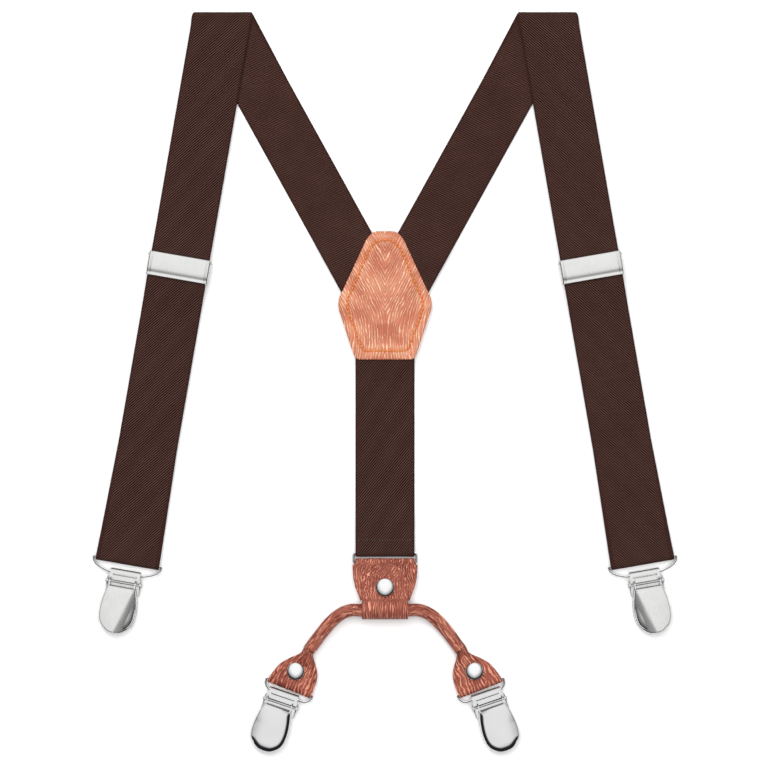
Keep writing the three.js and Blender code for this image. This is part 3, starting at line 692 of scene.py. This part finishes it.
centre_strap = piece("back_strap", shape, back_cloth, "webbing", ["back_webbing"], "yoke")


# ---------- leather creases ----------
def ridges(across, along, seed):
    """Long raised creases with furrows between them, from 0 to 1."""
    warp = 1.5 * noise.noise(Vector((across * 0.16, along * 0.07, seed)))
    wide = 1 - 2.1 * abs(noise.noise(Vector(((across + warp) * 0.6, along * 0.085, seed + 3))))
    fine = 1 - 2.1 * abs(noise.noise(Vector(((across + warp) * 1.25, along * 0.17, seed + 7))))
    return clamp01(0.62 * max(0, wide) ** 2 + 0.42 * max(0, fine) ** 2)


# ---------- back patch ----------
def quadratic(a, b, c, steps):
    return [
        tuple((1 - t) ** 2 * p + 2 * t * (1 - t) * q + t * t * r for p, q, r in zip(a, b, c))
        for t in (i / steps for i in range(steps + 1))
    ]


PATCH_WIDE = 28.1
PATCH_TOP = 90.2
PATCH_BOTTOM = 14.1
PATCH_CORNER = 9


def patch_edge(inset=0.0):
    """The right-hand outline of the patch, from the bottom to the top."""
    wide, top, bottom = PATCH_WIDE - inset, PATCH_TOP - inset, PATCH_BOTTOM + inset
    low, high = 17.5 - 0.75 * inset, 8.4 - 0.4 * inset
    return (
        quadratic((low - 2.7, bottom), (low, bottom), (low + 1.2, bottom + 3.4), 10)
        + quadratic((wide - 2, 40.2), (wide + 1.4, 47.7), (wide - 2.6, 54.2), 12)
        + quadratic((high + 4.6, top - PATCH_CORNER), (high + 1, top), (high - 4.6, top), 14)
    )


PATCH_EDGE = [(y, x) for x, y in reversed(patch_edge())]


def patch_half(y):
    return width_at(PATCH_EDGE, y)


def patch_rows():
    """Heights of the rows, closer together where the corners turn."""
    low, high = PATCH_BOTTOM + 3.4, PATCH_TOP - PATCH_CORNER
    corners = [PATCH_BOTTOM + d for d in (0.02, 0.2, 0.5, 1, 1.7, 2.5, 3.4)]
    shares = (0, 0.15, 0.3, 0.45, 0.6, 0.72, 0.82, 0.9, 0.95, 0.98, 1)
    tops = [high + (PATCH_CORNER - 0.02) * k for k in shares]
    middle = [low + (high - low) * i / 110 for i in range(1, 110)]
    return corners + middle + tops


STITCH_LINE = patch_edge(5.3)


def stitch_distance(x, y):
    """How far a point lies from the sewn line."""
    p = Vector((abs(x), y))
    best = 99.0
    line = [Vector((0, STITCH_LINE[0][1])), *map(Vector, STITCH_LINE), Vector((0, STITCH_LINE[-1][1]))]
    for a, b in zip(line, line[1:]):
        ab = b - a
        t = clamp01((p - a).dot(ab) / max(ab.length_squared, 1e-9))
        best = min(best, (p - a - ab * t).length)
    return best


def patch_flow(x, y):
    """Where the creases run: they fan out upwards in a V from the middle line."""
    lean = 0.5 if y > 50 else evenly(y, 50, 0.5, 14, 0.12)
    return abs(x) - lean * (y - 50), y, 20 + 0.09 * x


def patch_relief(x, y):
    """Soft folds, and the furrow that the stitches pull."""
    fold = 0.5 + 0.6 * noise.noise(Vector(patch_flow(x, y)) * 0.11)
    sewn = stitch_distance(x, y)
    if sewn > 4:
        return fold
    # The furrow along the stitches is sunk and darkened, a painted shade, and the leather just beside it is
    # raised and lightened, a painted highlight.
    return fold - 0.3 * math.exp(-(sewn / 0.8) ** 2) + 0.2 * math.exp(-((sewn - 2.2) / 1.2) ** 2)


def patch_layer(name, z, replaces, face_up):
    rows = patch_rows()
    lefts = [CENTRE((-patch_half(y), y, z)) for y in rows]
    rights = [CENTRE((patch_half(y), y, z)) for y in rows]

    def relief(s, x, top):
        y = rows[0] + s
        return patch_relief(x - patch_half(y), y) if top and face_up else 0.5

    def flow(s, x):
        y = rows[0] + s
        return patch_flow(x - patch_half(y), y)

    shape = strip(lefts, rights, PATCH_THICK, 90 if face_up else 30, relief, ends=0.6, deep=0.5, flow=flow)
    return piece(name, shape, tan_leather, "tan_leather", replaces, "yoke")


PATCH_TOP_Z = 1.5 + WEB_THICK + GAP + PATCH_THICK
patch_area = 2 * sum(
    (patch_half(a) + patch_half(b)) / 2 * (b - a) for a, b in zip(patch_rows(), patch_rows()[1:])
) * MM * MM
for name, z, node, up in (
    ("back_patch", PATCH_TOP_Z - PATCH_THICK / 2, "patch_front", True),
    ("back_patch_lining", PATCH_THICK / 2, "patch_back", False),
):
    leather = patch_layer(name, z, [node], up)


def stitches(name, path, pitch, share, radius, z, material, slot_name, replaces, body, closed):
    """A row of separate stitches: each rises out of its hole, lies on the leather and goes back in."""
    points = [Vector(p) for p in path]
    if closed:
        points.append(points[0])
    walk = [0.0]
    for a, b in zip(points, points[1:]):
        walk.append(walk[-1] + (b - a).length)

    def at(d):
        d = min(max(d, 0.0), walk[-1] - 1e-6)
        k = next(i for i, w in enumerate(walk[1:]) if w >= d)
        return points[k].lerp(points[k + 1], (d - walk[k]) / max(walk[k + 1] - walk[k], 1e-9))

    count = round(walk[-1] / pitch)
    step = walk[-1] / count
    parts = []
    for i in range(count):
        start = i * step + step * (1 - share) / 2
        run = []
        for k in range(9):
            t = k / 8
            p = at(start + step * share * t)
            run.append(CENTRE((p.x, p.y, z - 0.34 * (2 * t - 1) ** 4)))

        def twist(j, turn):
            return 0.9 + 0.14 * math.cos(2 * (turn - j * 0.9)) - 0.25 * abs(j / 4 - 1) ** 3

        parts.append(tube(run, radius, 10, shape=twist))
    return piece(name, joined(*parts), material, slot_name, replaces, body)


full_line = STITCH_LINE + [(-x, y) for x, y in reversed(STITCH_LINE)]
stitches("patch_thread", full_line, 2.45, 0.64, 0.55, PATCH_TOP_Z + 0.16, orange_thread, "orange_thread",
         ["patch_stitching"], "yoke", True)
stitches("back_strap_thread", [(-16.2, -92.8), (16.2, -92.8)], 2.3, 0.62, 0.4, UPPER_Z + WEB_THICK / 2 + 0.14,
         brown_thread, "brown_thread", ["back_stitching"], "yoke", False)


# ---------- rear leather ----------
tab_shape = [(-103.6, 18.7), (-105, 19.2), (-109.5, 19.2), (-115.5, 18.7), (-120.5, 17.6), (-128.4, 14.6)]
round_z = 0.8 + GAP + LEATHER / 2
tab_route = (
    [(-128.4, 4.65), (-111.5, 4.65), (-107.6, 4.5), (-106.3, RING_Z + round_z)]
    + [
        (y + 0.3 * (y + 106.5), z)
        for y, z in arc(-106.5, RING_Z, round_z, math.pi / 2 - 0.2, -math.pi / 2, 14)
    ]
    + [(-107.6, RING_Z - round_z + 0.05), (-113.5, 3.05), (-128.4, 3.05)]
)


def tab_edges(y, z):
    """Full width below the wire, and narrower where it bends round it inside the ring."""
    half = width_at(tab_shape, y)
    half = min(half, evenly(y, -107.5, 19.2, -106.6, 17.5))
    return -half, half


def tab_relief(s, x, top):
    return 0.5 + 0.5 * noise.noise(Vector((x * 0.14, s * 0.12, 90))) if top else 0.5


def tab_flow(s, x):
    side = x - 19.2
    return side * (1 + s * 0.012), s * 1.6, 90.0


shape = side_strip(CENTRE, tab_route, tab_edges, LEATHER, 0.6, 48, 1, tab_relief, ends=0.5, deep=0.4,
                   flow=tab_flow)
tab = piece("rear_tab_leather", shape, red_leather, "red_leather", ["rear_tab"], "tab")

KEEPER_HALF = 13.75
KEEPER_TOP = -105.9


def keeper_edges(y, z):
    into = min(0.995, max(0.0, (y - (KEEPER_TOP - KEEPER_HALF)) / KEEPER_HALF))
    half = KEEPER_HALF * math.sqrt(1 - into * into)
    return -half, half


def keeper_over(s):
    """How far the leather is into its bend over the cord."""
    return clamp01((s - 21.5) / 2.5) * clamp01((44 - s) / 4)


def keeper_relief(s, x, top):
    """The leather is gathered where it bends over the cord."""
    if not top:
        return 0.5
    over = keeper_over(s)
    edge = math.hypot(x - KEEPER_HALF, s - KEEPER_HALF) if s < KEEPER_HALF else 0.0
    # A raised line inside the round top's edge, which the tone also lightens: a painted highlight on its
    # ridge.
    rim = 0.7 * math.exp(-((edge - KEEPER_HALF + 1.5) / 0.6) ** 2)
    return 0.4 + over * (ridges((x - KEEPER_HALF) * 0.9, s, 140) - 0.4) + rim


def keeper_flow(s, x):
    side = x - KEEPER_HALF
    return side * (1 + 0.25 * keeper_over(s)), s * (2.2 - 1.6 * keeper_over(s)), 140.0


round_z = CORD_RADIUS + GAP + LEATHER / 2
keeper_route = (
    [(KEEPER_TOP, 6.25), (CORD_Y + 8.4, 6.25), (CORD_Y + 5.6, CORD_Z + 1.75)]
    + arc(CORD_Y, CORD_Z, round_z, 0.75, 1.5 * math.pi, 26)
    + [(CORD_Y + 6, CORD_Z - round_z), (CORD_Y + 9, 1.45), (RIVET_Y + 7, 1.45)]
)
shape = side_strip(CENTRE, keeper_route, keeper_edges, LEATHER, 0.4, 72, 2, keeper_relief, ends=0.5, deep=0.6,
                   flow=keeper_flow)
keeper = piece("cord_keeper_leather", shape, red_leather, "red_leather", ["cord_keeper"], "tab")

OUTER = [(24.8, -0.3), (21.5, 0.8), (19.2, 3.4), (17.1, 6.7), (15, 8.8), (13, 10.2), (8.9, 11.8), (4, 13.2),
         (-1, 13.6)]
INNER = [(24.8, -5.6), (22.1, -6.6), (19.9, -9.3), (17, -11.7), (14.3, -13), (10, -13.9), (5, -14),
         (-1, -13.6)]


def smooth_edge(points, y):
    """The outline's x, eased over a few millimetres."""
    return sum(width_at(points, y + d) for d in (-1.2, -0.6, 0, 0.6, 1.2)) / 5


def leaf_edges(y, z=0.0):
    return smooth_edge(INNER, y + 2.3), smooth_edge(OUTER, y + 2.3)


def fanned(x, centre, half):
    """The place across the creases, which gather where the leather narrows."""
    return (x - centre) / half * (3.4 + 0.62 * half)


def flare(place, seed):
    """The cord's leather opening from its round end into the flat leaf: sections from the cord
    down to the leaf. Each is a place along the leaf, a centre, a half width, its lowest and
    highest z, and how square it is."""
    sections = [
        (28.4, -3.85, 3.6, 0.45, 7.75, 2.0), (26.4, -3.3, 3.75, 0.35, 7.8, 2.0),
        (24.6, -2.85, 3.5, 0.5, 7.4, 2.0), (22.9, -2.75, 3.4, 0.6, 6.6, 2.1),
        (21.2, -2.9, 3.9, 0.7, 5.6, 2.2), (19.4, -2.85, 5.2, 0.75, 5.0, 2.4),
        (17.6, -2.65, 6.9, 0.8, 4.6, 2.7), (15.8, -2.35, 8.4, 0.85, 4.2, 3.0),
        (14.2, -2.0, 9.5, 0.9, 3.85, 3.0),
        (12.6, -1.8, 10.3, 0.9, 3.4, 3.0),
    ]
    smooth = spline([(y, c, h) for y, c, h, *_ in sections], 5)
    tops = spline([(low, high, power) for _, _, _, low, high, power in sections], 5)
    loops, tones, flows = [], [], []
    for (y, centre, half), (low, high, power) in zip(smooth, tops):
        middle, tall = (low + high) / 2, (high - low) / 2
        loop = []
        for k in range(64):
            turn = 2 * math.pi * k / 64
            c, s = math.cos(turn), math.sin(turn)
            x = centre + math.copysign(abs(c) ** (2 / power), c) * half
            fold = ridges(fanned(x, centre, half), y, seed) if s > -0.2 else 0.5
            z = middle + math.copysign(abs(s) ** (2 / power), s) * (tall + 0.34 * (fold - 0.5))
            loop.append(place((x, y, z)))
            # Lighter on the upper half of each section and darker below: painted light from above and painted
            # shade on the underside.
            tones.append(fold * (0.45 + 0.55 * max(0.0, s)))
            flows.append((fanned(x, centre, half), y, seed))
        loops.append(loop)
    first, last = (sum(loop, Vector()) / 64 for loop in (loops[0], loops[-1]))
    verts, faces = rings([[first], *loops, [last]])
    return verts, faces, [0.5, *tones, 0.5], [flows[0], *flows, flows[-1]]


for side, sign in SIDES:
    bow = REAR_BOW[side]
    leaf_round = 0.7 + GAP + LEATHER / 2
    leaf_route = (
        [(21.0, 3.05), (4, 3.05)] + arc(0, BAR_Z, leaf_round, math.pi / 2, 1.5 * math.pi, 12)
        + [(6, 1.45), (21.0, 1.45)]
    )
    seed = 200.0 + 40 * sign

    def leaf_flow(s, x):
        y = max(0.0, 21 - s)
        low, high = leaf_edges(y)
        return fanned(low + x, (low + high) / 2, max(2.6, (high - low) / 2)), 21 - s, seed

    def leaf_relief(s, x, top):
        across, along, _ = leaf_flow(s, x)
        # The creases' height, and with it their tone, is dimmed where the leather curves down round the bar:
        # painted shade at the bend.
        dark = 1 - 0.6 * math.exp(-((s - 21.5) / 1.8) ** 2)
        return ridges(across, along, seed) * dark if top else 0.5

    shape = side_strip(bow, leaf_route, leaf_edges, LEATHER, 0.45, 64, 1, leaf_relief, ends=0.4, deep=0.42,
                       flow=leaf_flow)
    leaf = piece(side + "_harness_end_leather", shape, red_leather, "red_leather", [side + "_harness_end"],
                 "harness")
    piece(side + "_harness_flare", flare(bow, seed), red_leather, "red_leather", body="harness")


# ---------- rivets ----------
def rivet_cap(place, y, base, radius):
    """A polished dome with a rolled edge."""
    profile = [(1.6, 0.0), (radius - 0.35, 0.0), (radius - 0.12, 0.08), (radius, 0.3), (radius - 0.1, 0.55)]
    dome = radius - 0.14
    profile += [(dome * math.cos(t), 0.6 + 1.6 * math.sin(t)) for t in (0.12 * k for k in range(1, 13))]
    loops = []
    for r, z in profile:
        turns = (math.pi * k / 32 for k in range(64))
        loops.append([place((r * math.cos(a), y + r * math.sin(a), base + z)) for a in turns])
    return rings([[place((0, y, base))], *loops, [place((0, y, base + 2.2))]])


for side, _ in SIDES:
    piece(side + "_harness_rivet", rivet_cap(REAR_BOW[side], 9.7, 4.0, 5.4), polished_chrome, "bright_chrome",
          [side + "_harness_end_rivet_cap"], "harness")
piece("keeper_rivet", rivet_cap(CENTRE, RIVET_Y, 7.2, 5.7), polished_chrome, "bright_chrome",
      ["keeper_rivet_cap"], "tab")


# ---------- clip covers ----------
TONGUE = spline([(0, -36), (4.2, -35.3), (8.4, -32), (10.4, -28), (10.9, -22), (10.1, -15), (8.6, -9)], 9)
COVER_TOP = -8.0
COVER_SHIFT = 0.7
PIN_Y, PIN_Z = -5.6, 4.0


def tongue_outline():
    """The cover's outline, anticlockwise from the tip."""
    right = [(p.x, p.y) for p in TONGUE] + [(8.5, -8.6), (8.35, -8.25), (8.0, COVER_TOP)]
    top = [(x, COVER_TOP) for x in (6, 4, 2, 0, -2, -4, -6)]
    return right + top + [(-x, y) for x, y in reversed(right[1:])]


def cover_height(x, y, share, facet):
    """The cover's upper surface over its flat outline, before the rim turns down."""
    z = 7.15 - 0.006 * x * x - 0.0012 * (y + 20) ** 2
    top_roll = 0.35 * math.exp(-((y - COVER_TOP) / 0.5) ** 2)
    groove = 0.16 * math.exp(-((y - COVER_TOP + 1.5) / 0.28) ** 2)
    z -= top_roll + groove
    if facet:
        inward = max(0.0, -(x + 6.6) + 0.31 * (-y - 10))
        return z - 0.3 * inward ** 2 / (inward + 0.9)
    beyond = max(0.0, -y - 29.5)
    lip = 12 * max(0.0, share - 0.8) * clamp01(max((-x - 3) / 3, (-y - 29) / 3))
    return z - 0.03 * max(0.0, x - 3.0) ** 1.7 * clamp01((-y - 12) / 8) - 0.02 * beyond ** 2 - 0.6 * lip


ROOF = [(share, 0.0) for share in (0.12, 0.25, 0.38, 0.48, 0.57, 0.65, 0.72, 0.78, 0.83, 0.87, 0.91, 0.94)]
RIM = [(0.955, 0.06), (0.968, 0.18), (0.979, 0.38), (0.988, 0.68), (0.995, 1.1), (1.0, 1.9), (1.0, 4.3)]


def clip_cover(place, facet):
    outline = tongue_outline()
    centre = Vector((0, -22))
    loop_points = []
    for share, fall in ROOF + RIM:
        ring = []
        for x, y in outline:
            px, py = centre.x + (x - centre.x) * share, centre.y + (y - centre.y) * share
            z = cover_height(px, py, share, facet) - fall * (0.35 if y > -8.3 else 1.0)
            ring.append(place((px + COVER_SHIFT, py, max(2.7, z))))
        loop_points.append(ring)
    for share, z in ((0.985, 2.7), (0.93, 2.75), (0.93, 4.6), (0.85, 5.6), (0.4, 5.9)):
        loop_points.append([
            place((centre.x + (x - centre.x) * share + COVER_SHIFT, centre.y + (y - centre.y) * share, z))
            for x, y in outline
        ])
    top = place((centre.x + COVER_SHIFT, centre.y, cover_height(centre.x, centre.y, 0.0, facet)))
    under = place((centre.x + COVER_SHIFT, centre.y, 6.0))
    shell = rings([[top], *loop_points, [under]])
    return joined(shell, *[cover_arm(place, x) for x in (-8, 7.2)])


def cover_arm(place, x0):
    """A cheek of the cover that reaches up to the pin."""
    outline = [(COVER_TOP - 1.2, 2.9), (PIN_Y, PIN_Z - 1.8)]
    outline += [(PIN_Y + 1.8 * math.cos(t), PIN_Z + 1.8 * math.sin(t)) for t in
                (-math.pi / 2 + math.pi * k / 10 for k in range(1, 11))]
    outline += [(COVER_TOP - 1.2, 6.2)]
    loops = []
    for x, inset in ((0.0, 0.12), (0.12, 0.0), (0.68, 0.0), (0.8, 0.12)):
        mid = Vector((-7.5, 4.3))
        loops.append([
            place((x0 + x + COVER_SHIFT, y + (mid.x - y) * inset * 0.3, z + (mid.y - z) * inset * 0.3))
            for y, z in outline
        ])
    ends = [sum(loop, Vector()) / len(loop) for loop in (loops[0], loops[-1])]
    return rings([[ends[0]], *loops, [ends[1]]])


COVER_METALS = (("front", satin_nickel, "satin_nickel"), ("rear", bright_chrome, "bright_chrome"))
for side, _ in SIDES:
    for end, metal, metal_slot in COVER_METALS:
        piece(f"{side}_{end}_clip_lever", clip_cover(CLIP[side, end], end == "front"), metal, metal_slot,
              [f"{side}_{end}_clip_cover"], f"{side}_{end}_cover", sharp=50)


# ---------- adjuster levers ----------
LEVER_HALF = 18.2
# The plate's section, from its top edge over its face to its lip. Its top edge swings down on to the
# strap as the lever opens, and stops just short of it.
LEVER_PROFILE = [
    (6.95, 6.5), (6.92, 6.72), (6.78, 6.95), (6.5, 7.14), (6.1, 7.29), (5.5, 7.43), (4.4, 7.54),
    (3, 7.62), (1, 7.65), (-1, 7.63), (-2.8, 7.55), (-3.8, 7.4), (-4.6, 7.16), (-5.3, 6.92), (-5.8, 6.84),
    (-6.2, 6.92), (-6.6, 7.12), (-6.95, 7.24), (-7.25, 7.14), (-7.45, 6.85), (-7.5, 6.4),
]


def adjuster_lever(place):
    """A pressed plate with a rolled top edge, a groove above its bottom lip, and turned-down ends."""
    across = [-LEVER_HALF, -18.12, -17.9, -17.5, -17.0, -16.6, -16.3, -16.0, -15.5]
    across += [-14 + 2 * k for k in range(15)] + [-x for x in reversed(across)]
    loops = []
    for y, z in LEVER_PROFILE:
        row = []
        for x in across:
            near = LEVER_HALF - abs(x)
            end_roll = 0.5 * (1 - min(1, near / 0.7)) ** 2
            drop = end_roll + 0.22 * math.exp(-((near - 1.75) / 0.3) ** 2)
            row.append(place((x, y, max(6.3, z - drop))))
        under = [place((x, y * 0.93, max(6.2, min(z, 7.2) - 0.6))) for x in reversed(across[1:-1])]
        loops.append(row + under)
    ends = [sum(loop, Vector()) / len(loop) for loop in (loops[0], loops[-1])]
    plate = rings([[ends[0]], *loops, [ends[1]]])
    lugs = []
    for x0 in (-17.55, 16.85):
        outline = [(3.4, 7.0), (3.8, 4.8), (6.3, 4.8), (6.5, 6.9)]
        faces = [[place((x0 + dx, y, z)) for y, z in outline] for dx in (0, 0.7)]
        mids = [sum(loop, Vector()) / 4 for loop in faces]
        lugs.append(rings([[mids[0]], *faces, [mids[1]]]))
    return joined(plate, *lugs)


for side, _ in SIDES:
    at_adjuster = turned(0, -ADJUSTER, inside=STRAP[side])
    piece(side + "_adjuster_plate", adjuster_lever(at_adjuster), satin_nickel, "satin_nickel",
          [side + "_adjuster_lever"], side + "_lever", sharp=50)

# ---------- hardware kept from the CAD ----------
def carried(names, material, bevel=0.0):
    """CAD nodes that stay, with a better material and eased edges."""
    for name in names:
        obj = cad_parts[name]
        obj.data.materials.clear()
        obj.data.materials.append(material)
        obj.data.shade_smooth()
        obj.data.set_sharp_from_angle(angle=math.radians(38))
        if bevel:
            made = obj.modifiers.new("eased", "BEVEL")
            made.width = bevel * MM
            made.segments = 2
            made.limit_method = "ANGLE"
            made.angle_limit = math.radians(50)


CLIPS = [f"{s}_{e}" for s, _ in SIDES for e in ("front", "rear")]
carried([s + "_adjuster_frame" for s, _ in SIDES], satin_nickel, 0.12)
carried([s + "_front_clip_plate" for s, _ in SIDES], satin_nickel, 0.1)
carried([s + "_rear_clip_plate" for s, _ in SIDES], bright_chrome, 0.1)
carried([s + "_adjuster_pin" for s, _ in SIDES], bright_chrome, 0.1)
carried([c + "_clip_pin" for c in CLIPS], bright_chrome, 0.1)
carried([c + "_clip_insert" for c in CLIPS], clip_insert, 0.15)
carried([c + "_wire" for c in CLIPS] + ["rear_ring"], polished_chrome)
posts = [s + "_harness_end_rivet_post" for s, _ in SIDES] + ["keeper_rivet_post"]
carried(posts, bright_chrome, 0.1)

# ---------- floor and studio light ----------
floor_mesh = bpy.data.meshes.new("floor")
floor_mesh.from_pydata([(-3, -3, -0.0002), (3, -3, -0.0002), (3, 3, -0.0002), (-3, 3, -0.0002)], [],
                       [(0, 1, 2, 3)])
floor = bpy.data.objects.new("floor", floor_mesh)
bpy.context.scene.collection.objects.link(floor)
floor_look = Graph("floor", Roughness=0.9)
paper_noise = floor_look.noise(floor_look.place(), 0.01, 2)
paper = floor_look.ramp(paper_noise, (0.3, (0.9, 0.9, 0.9)), (0.7, (0.93, 0.93, 0.93)))
floor_look.link(paper, "Base Color")
floor_mesh.materials.append(floor_look.material)

world = bpy.data.worlds.new("studio")
bpy.context.scene.world = world
world.use_nodes = True
sky = world.node_tree
background = sky.nodes["Background"]
direction = sky.nodes.new("ShaderNodeTexCoord")
height = sky.nodes.new("ShaderNodeSeparateXYZ")
shade = sky.nodes.new("ShaderNodeValToRGB")
sky.links.new(direction.outputs["Generated"], height.inputs[0])
SIDE_DIMMING, FAR_BRIGHTENING = -0.3, 0.45


def sky_math(operation, value, factor=None, added=None):
    made = sky.nodes.new("ShaderNodeMath")
    made.operation = operation
    sky.links.new(value, made.inputs[0])
    if factor is not None:
        made.inputs[1].default_value = factor
        sky.links.new(added, made.inputs[2])
    return made.outputs[0]


aside = sky_math("ABSOLUTE", height.outputs["X"])
dimmed = sky_math("MULTIPLY_ADD", aside, SIDE_DIMMING, height.outputs["Z"])
lean = sky_math("MULTIPLY_ADD", height.outputs["Y"], FAR_BRIGHTENING, dimmed)
sky.links.new(lean, shade.inputs["Fac"])
sky.links.new(shade.outputs["Color"], background.inputs["Color"])
for at, level in ((0.58, 0.4), (0.84, 0.94)):
    shade.color_ramp.elements.new(at).color = (level, level, level, 1)
first, *_, final = shade.color_ramp.elements
first.position, first.color = 0.3, (0.02, 0.02, 0.022, 1)
final.position, final.color = 1.0, (1, 1, 1, 1)
background.inputs["Strength"].default_value = 1.3


def soft_light(name, location, size, power):
    """A wide lamp behind a diffuser, which polished metal doesn't mirror."""
    data = bpy.data.lights.new(name, "AREA")
    data.shape = "SQUARE"
    data.size = size
    data.energy = power
    lamp = bpy.data.objects.new(name, data)
    lamp.location = location
    lamp.rotation_mode = "QUATERNION"
    lamp.rotation_quaternion = (Vector(location)).to_track_quat("Z", "Y")
    lamp.visible_glossy = False
    bpy.context.scene.collection.objects.link(lamp)


soft_light("top", (0.0, 0.2, 2.9), 3.0, 55)
soft_light("key", (-0.7, 1.3, 1.5), 0.9, 16)
soft_light("fill", (1.1, -0.6, 1.6), 1.2, 6)
bpy.context.scene.view_settings.view_transform = "Standard"
